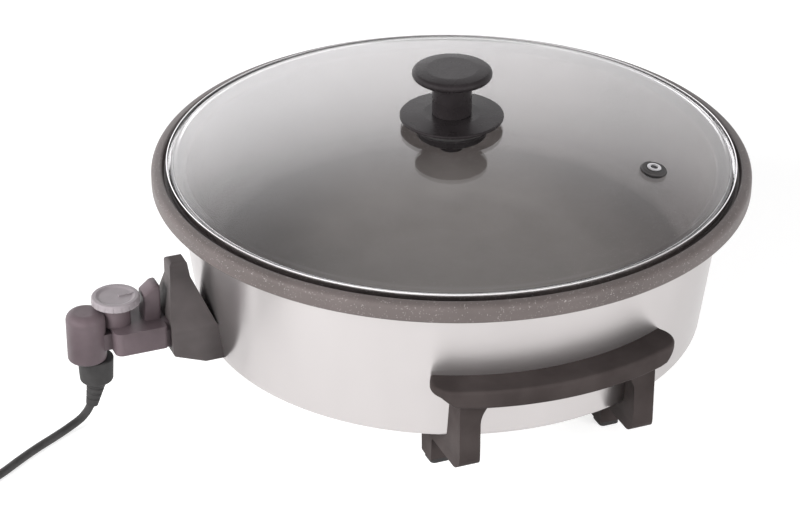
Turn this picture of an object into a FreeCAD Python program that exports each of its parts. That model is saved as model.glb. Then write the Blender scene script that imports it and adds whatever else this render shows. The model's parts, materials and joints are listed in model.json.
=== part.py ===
"""Round electric pizza pan with a lift-off glass lid and a pull-out thermostat lead.

Millimetres. +Z is up, the table is z = 0 and Z runs through the middle of the pan.
The carrying handles lie along X and the thermostat socket faces -Y.
"""
import FreeCAD, Part
import math
import os

from FreeCAD import Matrix, Placement, Rotation, Vector

os.makedirs("parts", exist_ok=True)

# Clearances
FIT_GAP = 0.3              # between pieces that come apart
SEAT_GAP = 0.15            # between curved pieces that are fixed together

# Pan
RIM_R = 205.0
RIM_WIDTH = 25.0           # edge of the rim to the mouth of the bowl
RIM_THICK = 3.0
RIM_LIP_DROP = 1.0         # how far the rim's outer lip hangs below its plate
RIM_LIP_WALL = 3.5
RIM_CREST = 4.2            # how far the rim's crest stands above the lid seat
SEAT_STEP = 11.2           # edge of the rim to the step that the lid sits in
PAN_TAPER = 11.0           # how much narrower the bowl is at its floor
PAN_DEPTH = 62.0           # underside of the rim to the cooking floor
PAN_FLOOR_THICK = 4.0
PAN_WALL = 3.0
PAN_FILLET = 11.0
PAN_MOUTH_R = RIM_R - RIM_WIDTH
PAN_FLOOR_R = PAN_MOUTH_R - PAN_TAPER
SEAT_R = RIM_R - SEAT_STEP

# Stand and body
STAND_HEIGHT = 36.0        # table to the lowest edge of the outer shell
SHELL_HEIGHT = 103.0       # lowest edge of the shell to the underside of the rim
SHELL_GAP = 2.0            # between the bowl's wall and the shell, at the top
SHELL_TAPER = 12.0         # how much narrower the shell is at its lowest edge
SHELL_THICK = 1.0
SHELL_EDGE_R = 5.5         # rounding where the shell turns in under the body
SHELL_LIP = 14.0           # width of the shell's turned-in lip
BASE_THICK = 1.0
SHELL_TOP_R = PAN_MOUTH_R + PAN_WALL + SHELL_GAP
SHELL_BOTTOM_R = SHELL_TOP_R - SHELL_TAPER

# Lid
BAND_GAP = 1.3             # between the lid's band and the step in the rim
BAND_HEIGHT = 7.0
BAND_THICK = 0.8
GLASS_THICK = 4.0
GLASS_RISE = 35.5          # lid seat to the top of the dome
GLASS_EDGE_RISE = 6.0      # lid seat to the top of the glass's upright edge
SHOULDER_INSET = 8.0       # band to the turn from the glass's edge into the dome
SHOULDER_RISE = 18.0       # lid seat to that turn
SHOULDER_ROUND = 9.0
GLASS_BORE_R = 5.0
BAND_R = SEAT_R - BAND_GAP
SHOULDER_R = BAND_R - SHOULDER_INSET

# Knob
KNOB_R = 26.0
KNOB_THICK = 7.0
KNOB_CLEAR = 36.5          # glass top to the middle of the grip disc
STEM_R = 13.5
SKIRT_R = 35.5
SKIRT_THICK = 5.6
SKIRT_EDGE = 2.0           # thickness of the skirt's edge
BOSS_R = 25.0
BOSS_DROP = 17.0           # how far the inner boss reaches below the glass
KNOB_SEAL_R = 29.0
KNOB_SEAL_THICK = 1.2
KNOB_SCREW_R = 2.5
KNOB_SCREW_HEAD_R = 4.6
KNOB_SCREW_HEAD = 3.4
KNOB_SCREW_SEAT = 9.0      # top of the boss to the seat of the screw's head
KNOB_THREAD = 16.0         # depth of the knob's threaded hole

# Steam vent
VENT_INSET = 42.5          # shoulder of the glass to the vent
VENT_ANGLE = 49.0
VENT_R = 10.0
VENT_NECK_R = 4.4
VENT_BORE_R = 2.5
VENT_AT_R = SHOULDER_R - VENT_INSET

# Heater
PLATE_MARGIN = 41.0        # edge of the cooking floor to the heat plate
HEAT_PLATE_THICK = 6.5
ELEMENT_INSET = 16.0       # edge of the heat plate to the element's ring
ELEMENT_TUBE_R = 4.0
ELEMENT_BEND = 14.0
ELEMENT_EMBED = 1.5        # how deep the element sits in the heat plate's groove
ELEMENT_END_INSET = 13.0   # lowest edge of the shell to the element's ends
TERMINAL_SPREAD = 11.0     # half the distance between the two terminal pins
TERMINAL_PIN_R = 3.0
INSULATOR_R = 5.0
CLAMP_ANGLES = (30, 150, 90)
CLAMP_THICK = 1.2
CLAMP_SCREW_INSET = 12.0   # the element's ring to the clamps' screws
SHIELD_MARGIN = 11.0       # lowest edge of the shell to the heat shield
SHIELD_THICK = 0.8
SHIELD_DROP = 17.0         # underside of the element to the heat shield
HEAT_PLATE_R = PAN_FLOOR_R - PLATE_MARGIN
ELEMENT_R = HEAT_PLATE_R - ELEMENT_INSET
ELEMENT_END_R = SHELL_BOTTOM_R - ELEMENT_END_INSET
SHIELD_R = SHELL_BOTTOM_R - SHIELD_MARGIN

# Base plate
BASE_RING_INSET = 32.0     # edge of the heat plate to the raised ring in the base
SLOT_INSET = 20.0          # that ring to the outer ends of the air slots
SLOT_LENGTH = 26.0

# Posts and feet
POST_R = 5.0
POST_SHOULDER_R = 7.5
POST_INSET = 41.0          # edge of the cooking floor to the posts, towards the handles
POST_Y = 62.0
FOOT_WIDTH = 16.0
FOOT_DEPTH = 16.0
PAD_THICK = 3.0
FOOT_SCREW_R = 2.0
FOOT_SCREW_HEAD_R = 4.0
FOOT_SCREW_HEAD = 3.0
FOOT_SCREW_RISE = 7.0      # top of the pad to the seat of the screw
POST_X = PAN_FLOOR_R - POST_INSET
FOOT_SCREW_SEAT_Z = PAD_THICK + FOOT_SCREW_RISE

# Handles
BAR_REACH = 17.0           # how far the bar stands out from the shell's upper edge
BAR_THICK = 10.0
BAR_RISE = 39.0            # lowest edge of the shell to the underside of the bar
BAR_HALF_ANGLE = 26.8
BAR_CORNER = 16.0
BAR_EDGE = 2.2
LEG_INSET = 20.0           # outer edge of the bar to the outer face of the legs
LEG_WIDTH = 14.5
LEG_FLARE = 20.0           # rounding between leg and bar
LEG_TOE = 9.0              # rounding where a leg turns in under the body
LEG_DROP = 14.0            # how far the legs reach below the shell
BAR_R = SHELL_TOP_R + BAR_REACH
LEG_X = BAR_R - LEG_INSET

# Socket
AXIS_DROP = 13.0           # cooking floor to the thermostat's axis
SOCKET_REACH = 24.5        # how far the mouth stands out from the shell's upper edge
SOCKET_HALF = 21.0
SOCKET_LOW = 22.0          # underside at the shell, below the axis
SOCKET_RAISE = 8.5         # how much higher the underside is at the mouth
SOCKET_SHOULDER = 4.5      # top of the straight sides, above the axis
SOCKET_NECK = 37.0         # foot of the upright post, above the axis
SOCKET_TOP = 49.0          # top of the upright post, above the axis
SOCKET_POST_HALF = 6.5
SOCKET_POST_DEPTH = 12.0
SOCKET_STANDOFF = 2.0      # between the shell and the back of the mouth
SOCKET_BACK = 5.0          # thickness of the wall behind the mouth
MOUTH_HALF = 16.5
MOUTH_LOW = 9.5
MOUTH_HIGH = 10.0
PIN_INSET = 10.5           # the mouth to the tips of the terminal pins
SOCKET_FACE_R = SHELL_TOP_R + SOCKET_REACH
PIN_TIP_R = SOCKET_FACE_R - PIN_INSET

# Thermostat plug
NOSE_GAP = 0.5
NOSE_DEPTH = 23.0          # how far the nose reaches into the socket
HOUSING_GAP = 3.0          # the socket's mouth to the housing
HOUSING_LENGTH = 35.5
HOUSING_HALF = 19.0
HOUSING_LOW = 7.0
HOUSING_HIGH = 9.5
HOUSING_WALL = 2.0
COLUMN_REACH = 15.5        # end of the housing to the middle of the cord column
COLUMN_R = 13.2
COLUMN_TOP = 21.8
COLUMN_LOW = 14.0
NECK_HALF = 9.0
NECK_HALF_HEIGHT = 6.0
RELIEF_INSET = 5.5         # middle of the column to the middle of the cord's sleeve
RELIEF_R = 12.2
RELIEF_NECK_R = 4.6
RELIEF_COLLAR = 18.0
RELIEF_LEAN = 13.0         # degrees that the sleeve's tail leans outwards
RELIEF_TIP_Z = 13.0
CONTACT_R = 4.2
ROD_R = 3.2
GUIDE_R = 5.2
GUIDE_INSET = 4.0          # how far the guide reaches inside the element's ring
ROD_SHORT = 10.0           # end of the guide to the sensor's tip
LAMP_R = 2.5
LAMP_INSET = 6.5           # front of the housing to the lamp
DIAL_INSET = 6.0           # end of the housing to the dial's axis
DIAL_R = 16.5
DIAL_THICK = 4.8
DIAL_LIFT = 15.4           # top of the housing to the underside of the dial
DIAL_FLUTES = 18
SPINDLE_R = 3.0
TURRET_R = 9.5
HOUSING_START = SOCKET_FACE_R + HOUSING_GAP
HOUSING_END = HOUSING_START + HOUSING_LENGTH
COLUMN_AT = HOUSING_END + COLUMN_REACH
RELIEF_AT = COLUMN_AT - RELIEF_INSET
DIAL_AT = HOUSING_END - DIAL_INSET
GUIDE_END_R = ELEMENT_R - GUIDE_INSET
ROD_TIP = GUIDE_END_R + ROD_SHORT

# Cord and plug
CORD_R = 2.85
CORD_REST = 0.05           # between the cord and the table
BEND_1_X = 10.0            # first bend on the table, from the foot of the sleeve
BEND_1_Y = 21.0
BEND_2_X = 27.0            # second bend on the table
BEND_2_Y = 50.0
COIL_REACH = 144.0         # the cord's sleeve to the middle of the coil
COIL_INNER_R = 29.0        # innermost turn of the put-away length
COIL_LOW_TURNS = 1.5       # turns that lie on the table
COIL_HIGH_TURNS = 2.0      # turns that lie on top of them
COIL_PITCH = 7.2
COIL_LAYER_GAP = 0.7       # between the coil's two layers
COIL_X = 30.0
COIL_ENTRY = 20.0          # direction from the coil's middle to where the cord arrives
PLUG_SIDE = 78.0           # middle of the coil to the plug, sideways
PLUG_AHEAD = 82.0          # middle of the coil to the plug, away from the pan
PLUG_HEADING = 262.0
PLUG_R = 18.5
PLUG_TAIL_R = 9.5
PLUG_LENGTH = 42.0
PLUG_COLLAR = 14.0         # length of the wide front part
PIN_R = 2.4
PIN_LENGTH = 19.0
PIN_SPREAD = 9.5
CORD_Z = CORD_R + CORD_REST
COIL_CLIMB = 2 * CORD_R + COIL_LAYER_GAP
COIL_Y = -(RELIEF_AT + COIL_REACH)
PLUG_X = COIL_X + PLUG_SIDE
PLUG_Y = COIL_Y - PLUG_AHEAD

# Heights worked out from the sizes above
RIM_Z = STAND_HEIGHT + SHELL_HEIGHT
FLOOR_Z = RIM_Z - PAN_DEPTH
PLATE_TOP_Z = FLOOR_Z - PAN_FLOOR_THICK
SEAT_Z = RIM_Z + RIM_LIP_DROP + RIM_THICK
LID_Z = SEAT_Z + FIT_GAP
APEX_Z = SEAT_Z + GLASS_RISE
BASE_Z = STAND_HEIGHT - BASE_THICK
AXIS_Z = FLOOR_Z - AXIS_DROP
BAR_Z = STAND_HEIGHT + BAR_RISE
PLATE_Z = PLATE_TOP_Z - HEAT_PLATE_THICK
SHIELD_Z = AXIS_Z - ELEMENT_TUBE_R - SHIELD_DROP


def save(name, shape):
    shape.exportStep("parts/" + name + ".step")


def rounded_path(points, closed=True):
    """Straight lines with rounded corners. A point is (position, corner radius)."""
    places = [p for p, _ in points]
    count = len(places)
    joints = []
    for i, (here, radius) in enumerate(points):
        if not closed and i in (0, count - 1) or radius <= 0:
            joints.append((here, None, here))
            continue
        back = places[i - 1] - here
        on = places[(i + 1) % count] - here
        reach_limit = 0.49 * min(back.Length, on.Length)
        half = back.getAngle(on) / 2
        reach = min(radius / math.tan(half), reach_limit)
        back.normalize()
        on.normalize()
        first = here + back * reach
        last = here + on * reach
        middle = (first + last) * 0.5
        inward = middle - here
        bend = reach * math.tan(half)
        centre_distance = bend / math.sin(half)
        inward.normalize()
        joints.append((first, here + inward * (centre_distance - bend), last))
    edges = []
    for i, (first, middle, last) in enumerate(joints):
        if middle is not None:
            edges.append(Part.Arc(first, middle, last).toShape())
        if i < count - 1 or closed:
            following = joints[(i + 1) % count][0]
            if (following - last).Length > 1e-6:
                edges.append(Part.LineSegment(last, following).toShape())
    return Part.Wire(edges)


def turned(points, angle=360.0):
    """A solid of revolution about Z from (radius, height, corner radius) points."""
    outline = rounded_path([(Vector(r, 0, z), c) for r, z, c in points])
    return Part.Face(outline).revolve(Vector(0, 0, 0), Vector(0, 0, 1), angle)


def prism_z(points, low, high):
    """A plate from (x, y, corner radius) points between two heights."""
    outline = rounded_path([(Vector(x, y, low), c) for x, y, c in points])
    return Part.Face(outline).extrude(Vector(0, 0, high - low))


def prism_y(points, start, end):
    """A bar along Y from (x, z, corner radius) points between two places on Y."""
    outline = rounded_path([(Vector(x, start, z), c) for x, z, c in points])
    return Part.Face(outline).extrude(Vector(0, end - start, 0))


def prism_x(points, start, end):
    """A bar along X from (y, z, corner radius) points between two places on X."""
    outline = rounded_path([(Vector(start, y, z), c) for y, z, c in points])
    return Part.Face(outline).extrude(Vector(end - start, 0, 0))


def cylinder(radius, start, end):
    """A round bar from one point to another."""
    along = end - start
    return Part.makeCylinder(radius, along.Length, start, along)


def half_turned(shape):
    """The same piece on the other side of the pan."""
    copy = shape.copy()
    copy.rotate(Vector(0, 0, 0), Vector(0, 0, 1), 180)
    return copy


def mirrored_y(shape):
    return shape.mirror(Vector(0, 0, 0), Vector(0, 1, 0))


def tube_along(wire, radius):
    """A round tube along a wire, with its volume compared with section times length."""
    first = wire.OrderedEdges[0]
    start = first.valueAt(first.FirstParameter)
    tangent = first.tangentAt(first.FirstParameter)
    if (wire.OrderedVertexes[0].Point - start).Length > 1e-6:
        start = first.valueAt(first.LastParameter)
        tangent = first.tangentAt(first.LastParameter) * -1
    circle = Part.Wire(Part.makeCircle(radius, start, tangent))
    tube = wire.makePipeShell([circle], True, False)
    expected = math.pi * radius ** 2 * wire.Length
    print("tube volume against section times length:", round(tube.Volume / expected, 4))
    return tube


def circles_at(shape, z):
    """The circular edges of a shape that lie level at a height."""
    found = []
    for edge in shape.Edges:
        if edge.BoundBox.ZLength < 0.01 and abs(edge.BoundBox.ZMin - z) < 0.01:
            if edge.BoundBox.XLength > 1:
                found.append(edge)
    return found


def shell_radius(z):
    """Outer radius of the tapered shell at a height."""
    share = (z - STAND_HEIGHT) / SHELL_HEIGHT
    return SHELL_BOTTOM_R + (SHELL_TOP_R - SHELL_BOTTOM_R) * share


def shell_envelope(gap):
    """Everything inside the shell's outer face, with the base, grown by a gap."""
    return turned([
        (0, BASE_Z, 0),
        (SHELL_BOTTOM_R + gap - SHELL_EDGE_R, BASE_Z, 0),
        (SHELL_BOTTOM_R + gap - SHELL_EDGE_R, STAND_HEIGHT - gap, 0),
        (SHELL_BOTTOM_R + gap, STAND_HEIGHT - gap, SHELL_EDGE_R),
        (SHELL_TOP_R + gap, RIM_Z + gap, 0),
        (0, RIM_Z + gap, 0),
    ])


# The pan and its shell

def pan_bowl():
    """The cast pan: non-stick bowl with a hollow, rolled-down rim and a seat for the lid."""
    plate_z = SEAT_Z - RIM_THICK
    wall_top_r = PAN_MOUTH_R + PAN_WALL
    return turned([
        (0, PLATE_TOP_Z, 0),
        (PAN_FLOOR_R + PAN_WALL, PLATE_TOP_Z, PAN_FILLET + PAN_WALL),
        (wall_top_r, plate_z, 1.0),
        (RIM_R - RIM_LIP_WALL, plate_z, 1.0),
        (RIM_R - RIM_LIP_WALL, RIM_Z, 0.6),
        (RIM_R, RIM_Z, 1.6),
        (RIM_R, SEAT_Z + RIM_CREST * 0.45, 4.5),
        (SEAT_R + 1.2, SEAT_Z + RIM_CREST, 1.6),
        (SEAT_R, SEAT_Z, 0.5),
        (PAN_MOUTH_R, SEAT_Z, 2.4),
        (PAN_FLOOR_R, FLOOR_Z, PAN_FILLET),
        (0, FLOOR_Z, 0),
    ])


def outer_shell():
    """The tapered metal shell, open at the top, with a turned-in lip and a socket window."""
    lip_r = SHELL_BOTTOM_R - SHELL_LIP
    plate_z = SEAT_Z - RIM_THICK
    slope = (SHELL_TOP_R - SHELL_BOTTOM_R) / SHELL_HEIGHT
    top_r = SHELL_TOP_R + slope * (plate_z - RIM_Z)
    shell = turned([
        (lip_r, STAND_HEIGHT, 0),
        (SHELL_BOTTOM_R, STAND_HEIGHT, SHELL_EDGE_R),
        (top_r, plate_z, 0),
        (top_r - SHELL_THICK, plate_z, 0),
        (SHELL_BOTTOM_R - SHELL_THICK, STAND_HEIGHT + SHELL_THICK,
         SHELL_EDGE_R - SHELL_THICK),
        (lip_r, STAND_HEIGHT + SHELL_THICK, 0),
    ])
    return shell.cut(socket_window())


def socket_window():
    """The opening in the shell behind the socket."""
    half = TERMINAL_SPREAD + ELEMENT_TUBE_R + 3.0
    tall = ELEMENT_TUBE_R + 4.0
    return prism_y([
        (-half, AXIS_Z - tall, 4), (half, AXIS_Z - tall, 4),
        (half, AXIS_Z + tall, 4), (-half, AXIS_Z + tall, 4),
    ], -SHELL_TOP_R, -SHELL_BOTTOM_R + 20)


def base_cover():
    """The pressed base plate with a raised ring, holes for the posts and slots for air."""
    cover_r = SHELL_BOTTOM_R - SHELL_EDGE_R
    ring_r = HEAT_PLATE_R - BASE_RING_INSET
    ring_wide = 10.0
    ring_rise = 3.0
    outline = [
        (0, BASE_Z, 0),
        (ring_r - ring_wide - ring_rise, BASE_Z, 1.5),
        (ring_r - ring_wide, BASE_Z + ring_rise, 1.5),
        (ring_r + ring_wide, BASE_Z + ring_rise, 1.5),
        (ring_r + ring_wide + ring_rise, BASE_Z, 1.5),
        (cover_r, BASE_Z, 0),
    ]
    upper = [(r, z + BASE_THICK, c) for r, z, c in reversed(outline)]
    cover = turned(outline + upper)
    slots = []
    far = ring_r - SLOT_INSET
    near = far - SLOT_LENGTH
    slot_count = 16
    for i in range(slot_count):
        slot = prism_z([
            (near, -2, 1.9), (far, -2, 1.9), (far, 2, 1.9), (near, 2, 1.9),
        ], BASE_Z - 1, BASE_Z + BASE_THICK + 1)
        slot.rotate(Vector(0, 0, 0), Vector(0, 0, 1), 360.0 * i / slot_count)
        slots.append(slot)
    for x, y in post_places():
        slots.append(cylinder(FOOT_SCREW_R + 0.1, Vector(x, y, BASE_Z - 1),
                              Vector(x, y, BASE_Z + 2)))
    return cover.cut(Part.makeCompound(slots))


# The heater under the pan

def post_places():
    return [(sx * POST_X, sy * POST_Y) for sx in (1, -1) for sy in (1, -1)]


def base_posts():
    """Four stepped posts from the underside of the pan to the base plate."""
    posts = []
    for x, y in post_places():
        low = Vector(x, y, BASE_Z + BASE_THICK)
        post = cylinder(POST_R, Vector(x, y, SHIELD_Z), Vector(x, y, PLATE_TOP_Z))
        post = post.fuse(cylinder(POST_SHOULDER_R, low, Vector(x, y, SHIELD_Z)))
        thread = cylinder(FOOT_SCREW_R + 0.02, low, Vector(x, y, BASE_Z + BASE_THICK + 14))
        posts.append(post.removeSplitter().cut(thread))
    return Part.makeCompound(posts)


def element_path():
    """Centre line of the heater: a ring that turns out to two parallel ends."""
    spread = TERMINAL_SPREAD
    bend = ELEMENT_BEND
    centre_y = -math.sqrt((ELEMENT_R + bend) ** 2 - (spread + bend) ** 2)
    centre = Vector(spread + bend, centre_y, AXIS_Z)
    to_ring = Vector(-centre.x, -centre.y, 0)
    to_ring.normalize()
    ring_start = centre + to_ring * bend
    out_middle = Vector(-1, 0, 0) + to_ring
    out_middle.normalize()
    straight_start = Vector(spread, centre_y, AXIS_Z)
    outer_end = Vector(spread, -ELEMENT_END_R, AXIS_Z)
    flip = lambda p: Vector(-p.x, p.y, p.z)
    top = Vector(0, ELEMENT_R, AXIS_Z)
    return Part.Wire([
        Part.LineSegment(outer_end, straight_start).toShape(),
        Part.Arc(straight_start, centre + out_middle * bend, ring_start).toShape(),
        Part.Arc(ring_start, top, flip(ring_start)).toShape(),
        Part.Arc(flip(ring_start), flip(centre + out_middle * bend),
                 flip(straight_start)).toShape(),
        Part.LineSegment(flip(straight_start), flip(outer_end)).toShape(),
    ])


def heating_element():
    return tube_along(element_path(), ELEMENT_TUBE_R)


def terminal_pins():
    """The two round terminals on the element's ends, with rounded tips."""
    pins = []
    for side in (1, -1):
        x = side * TERMINAL_SPREAD
        start = Vector(x, -ELEMENT_END_R, AXIS_Z)
        pin = cylinder(TERMINAL_PIN_R, start, Vector(x, -PIN_TIP_R, AXIS_Z))
        pins.append(rounded_tip(pin, Vector(x, -PIN_TIP_R, AXIS_Z), 1.2))
    return Part.makeCompound(pins)


def rounded_tip(shape, tip, radius):
    """Round the circular edge nearest to a tip."""
    edges = [e for e in shape.Edges
             if e.Curve.TypeId == "Part::GeomCircle"
             and (e.Curve.Center - tip).Length < 0.01]
    return shape.makeFillet(radius, edges)


def terminal_insulators():
    """Ceramic collars that hold the terminals clear of the shell."""
    collars = []
    for side in (1, -1):
        x = side * TERMINAL_SPREAD
        start = Vector(x, -ELEMENT_END_R - 1, AXIS_Z)
        end = Vector(x, -socket_back_r(), AXIS_Z)
        collar = cylinder(INSULATOR_R, start, end)
        collars.append(collar.cut(cylinder(TERMINAL_PIN_R + 0.05, start, end)))
    return Part.makeCompound(collars)


def heat_plate():
    """The aluminium plate that spreads the element's heat over the pan's floor."""
    plate = turned([
        (0, PLATE_Z, 0), (HEAT_PLATE_R, PLATE_Z, 1.5),
        (HEAT_PLATE_R, PLATE_TOP_Z, 0), (0, PLATE_TOP_Z, 0),
    ])
    groove = Part.makeTorus(ELEMENT_R, ELEMENT_TUBE_R + 0.05,
                            Vector(0, 0, AXIS_Z), Vector(0, 0, 1))
    lead = []
    for side in (1, -1):
        x = side * TERMINAL_SPREAD
        lead.append(prism_y([
            (x - ELEMENT_TUBE_R - 12, PLATE_Z - 1, 0),
            (x + ELEMENT_TUBE_R + 12, PLATE_Z - 1, 0),
            (x + ELEMENT_TUBE_R + 12, PLATE_Z + ELEMENT_EMBED + 0.3, 0),
            (x - ELEMENT_TUBE_R - 12, PLATE_Z + ELEMENT_EMBED + 0.3, 0),
        ], -HEAT_PLATE_R - 2, -ELEMENT_R + 14))
    guide = cylinder(GUIDE_R + 0.05, Vector(0, -HEAT_PLATE_R - 2, AXIS_Z),
                     Vector(0, -GUIDE_END_R + 1, AXIS_Z))
    threads = []
    for angle in CLAMP_ANGLES:
        turn = math.radians(angle)
        reach = ELEMENT_R - CLAMP_SCREW_INSET
        at = Vector(reach * math.cos(turn), reach * math.sin(turn), PLATE_Z)
        threads.append(Part.makeCylinder(1.52, 6.0, at - Vector(0, 0, 0.2)))
    plate = plate.cut(Part.makeCompound([groove] + lead)).cut(guide)
    return plate.cut(Part.makeCompound(threads))


def element_clamps():
    """Three steel straps that press the element up into its groove."""
    strap_half = 7.0
    reach = 17.0
    thick = CLAMP_THICK
    outer = ELEMENT_TUBE_R + 0.05
    straps = []
    for angle in CLAMP_ANGLES:
        low = PLATE_Z - thick
        hump = AXIS_Z - outer - thick
        strap = prism_y([
            (ELEMENT_R - reach, low, 0), (ELEMENT_R - outer - thick, low, 0.8),
            (ELEMENT_R - outer - thick, hump, 2.5), (ELEMENT_R + outer + thick, hump, 2.5),
            (ELEMENT_R + outer + thick, low, 0.8), (ELEMENT_R + reach - 2.5, low, 0),
            (ELEMENT_R + reach - 2.5, PLATE_Z, 0), (ELEMENT_R - reach, PLATE_Z, 0),
        ], -strap_half, strap_half)
        bed = Part.makeTorus(ELEMENT_R, outer, Vector(0, 0, AXIS_Z), Vector(0, 0, 1))
        block = Part.makeBox(2 * outer, 2 * strap_half + 2, outer,
                             Vector(ELEMENT_R - outer, -strap_half - 1, AXIS_Z))
        strap = strap.cut(bed).cut(block)
        hole_r = ELEMENT_R - CLAMP_SCREW_INSET
        strap = strap.cut(cylinder(1.6, Vector(hole_r, 0, low - 1),
                                   Vector(hole_r, 0, PLATE_Z + 1)))
        strap.rotate(Vector(0, 0, 0), Vector(0, 0, 1), angle)
        straps.append(strap)
    return Part.makeCompound(straps)


def clamp_screws():
    """One screw beside the element in each strap."""
    screws = []
    for angle in CLAMP_ANGLES:
        turn = math.radians(angle)
        at = ELEMENT_R - CLAMP_SCREW_INSET
        seat = Vector(at * math.cos(turn), at * math.sin(turn), PLATE_Z - CLAMP_THICK)
        screws.append(screw(seat, Vector(0, 0, 1), 1.5, 3.0, 2.2, CLAMP_THICK + 5.5))
    return Part.makeCompound(screws)


def sensor_guide():
    """The tube under the pan that the thermostat's sensor rod slides into."""
    start = Vector(0, -GUIDE_END_R, AXIS_Z)
    end = Vector(0, -socket_back_r(), AXIS_Z)
    tube = cylinder(GUIDE_R, start, end)
    bore = cylinder(ROD_R + FIT_GAP, Vector(0, -GUIDE_END_R - 1.5, AXIS_Z), end)
    return tube.cut(bore)


def heat_shield():
    """The bright sheet between the heater and the base, hung on the posts."""
    holes = [cylinder(POST_R + 0.05, Vector(x, y, SHIELD_Z - 1), Vector(x, y, SHIELD_Z + 3))
             for x, y in post_places()]
    shield = turned([
        (0, SHIELD_Z, 0), (SHIELD_R, SHIELD_Z, 0.4),
        (SHIELD_R + 1.5, SHIELD_Z + 6, 0), (SHIELD_R + 1.5 - SHIELD_THICK, SHIELD_Z + 6, 0),
        (SHIELD_R - SHIELD_THICK, SHIELD_Z + SHIELD_THICK, 0.3),
        (0, SHIELD_Z + SHIELD_THICK, 0),
    ])
    return shield.cut(Part.makeCompound(holes))


# The handles with their legs and feet

def handle():
    """One moulding: a curved bar, two legs that turn in under the body, and two feet."""
    body = handle_bar()
    for side in (1, -1):
        leg = handle_leg()
        if side < 0:
            leg = mirrored_y(leg)
        body = body.fuse(leg)
    body = body.cut(shell_envelope(SEAT_GAP)).removeSplitter()
    for side in (1, -1):
        at = (POST_X, side * POST_Y)
        shaft = cylinder(FOOT_SCREW_R + 0.1, Vector(at[0], at[1], 0),
                         Vector(at[0], at[1], BASE_Z + 1))
        head = cylinder(FOOT_SCREW_HEAD_R + 0.1, Vector(at[0], at[1], 0),
                        Vector(at[0], at[1], FOOT_SCREW_SEAT_Z))
        body = body.cut(shaft).cut(head)
    return body


def handle_bar():
    half = math.radians(BAR_HALF_ANGLE)
    inner_r = SHELL_BOTTOM_R - 6
    outline = Part.Wire([
        Part.Arc(Vector(BAR_R * math.cos(half), -BAR_R * math.sin(half), BAR_Z),
                 Vector(BAR_R, 0, BAR_Z),
                 Vector(BAR_R * math.cos(half), BAR_R * math.sin(half), BAR_Z)).toShape(),
        Part.LineSegment(
            Vector(BAR_R * math.cos(half), BAR_R * math.sin(half), BAR_Z),
            Vector(inner_r * math.cos(half), inner_r * math.sin(half), BAR_Z)).toShape(),
        Part.Arc(Vector(inner_r * math.cos(half), inner_r * math.sin(half), BAR_Z),
                 Vector(inner_r, 0, BAR_Z),
                 Vector(inner_r * math.cos(half), -inner_r * math.sin(half), BAR_Z)).toShape(),
        Part.LineSegment(
            Vector(inner_r * math.cos(half), -inner_r * math.sin(half), BAR_Z),
            Vector(BAR_R * math.cos(half), -BAR_R * math.sin(half), BAR_Z)).toShape(),
    ])
    bar = Part.Face(outline).extrude(Vector(0, 0, BAR_THICK))
    corners = [e for e in bar.Edges if e.Curve.TypeId == "Part::GeomLine"
               and abs(e.Length - BAR_THICK) < 0.01
               and math.hypot(e.CenterOfMass.x, e.CenterOfMass.y) > BAR_R - 1]
    bar = bar.makeFillet(BAR_CORNER, corners)
    outer = [e for e in bar.Edges
             if abs(e.BoundBox.ZLength) < 0.01 and rim_of_bar(e, inner_r)]
    return bar.makeFillet(BAR_EDGE, outer)


def rim_of_bar(edge, inner_r):
    """True for an edge of the bar's top or bottom face that isn't against the shell."""
    if edge.Curve.TypeId == "Part::GeomLine":
        return True
    middle = edge.valueAt((edge.FirstParameter + edge.LastParameter) / 2)
    return math.hypot(middle.x, middle.y) > inner_r + 2


def handle_leg():
    """A leg seen from the side as a J, with a flared top, and its foot."""
    arm_low = STAND_HEIGHT - LEG_DROP
    inner_x = POST_X - FOOT_DEPTH / 2
    side_view = prism_y([
        (LEG_X, BAR_Z + BAR_EDGE, 0), (LEG_X, arm_low, LEG_TOE),
        (POST_X + FOOT_DEPTH / 2 + 1, arm_low, 3),
        (POST_X + FOOT_DEPTH / 2, PAD_THICK, 1),
        (inner_x, PAD_THICK, 1),
        (inner_x - 1, BASE_Z - 3, 0), (inner_x + 2, BASE_Z, 0),
        (inner_x + 2, BASE_Z + 1, 0), (SHELL_BOTTOM_R - 25, BAR_Z + BAR_EDGE, 0),
    ], 0, 2 * POST_Y)
    half = LEG_WIDTH / 2
    foot_half = FOOT_WIDTH / 2
    top = BAR_Z + BAR_EDGE
    front_view = prism_x([
        (POST_Y + foot_half, 0, 0), (POST_Y + foot_half, arm_low, 0),
        (POST_Y + half, arm_low + 8, 0), (POST_Y + half, BAR_Z, LEG_FLARE * 0.3),
        (POST_Y + half + LEG_FLARE * 0.4, BAR_Z, 0), (POST_Y + half + LEG_FLARE * 0.4, top, 0),
        (POST_Y - half - 2.1 * LEG_FLARE, top, 0), (POST_Y - half - 2.1 * LEG_FLARE, BAR_Z, 0),
        (POST_Y - half, BAR_Z, LEG_FLARE), (POST_Y - half, arm_low + 8, 0),
        (POST_Y - foot_half, arm_low, 0), (POST_Y - foot_half, 0, 0),
    ], 0, BAR_R)
    return side_view.common(front_view)


def foot_pads():
    """Four rubber pads with a plug that fills the screw hole above."""
    pads = []
    half_x = FOOT_DEPTH / 2 - 1
    half_y = FOOT_WIDTH / 2 - 1
    plug_r = FOOT_SCREW_HEAD_R - 0.1
    plug_top = FOOT_SCREW_SEAT_Z - FOOT_SCREW_HEAD - 0.3
    for x, y in post_places():
        pad = prism_z([
            (x - half_x, y - half_y, 3), (x + half_x, y - half_y, 3),
            (x + half_x, y + half_y, 3), (x - half_x, y + half_y, 3),
        ], 0, PAD_THICK)
        stub = cylinder(plug_r, Vector(x, y, PAD_THICK - 1), Vector(x, y, plug_top))
        pads.append(pad.fuse(stub).removeSplitter())
    return Part.makeCompound(pads)


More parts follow.
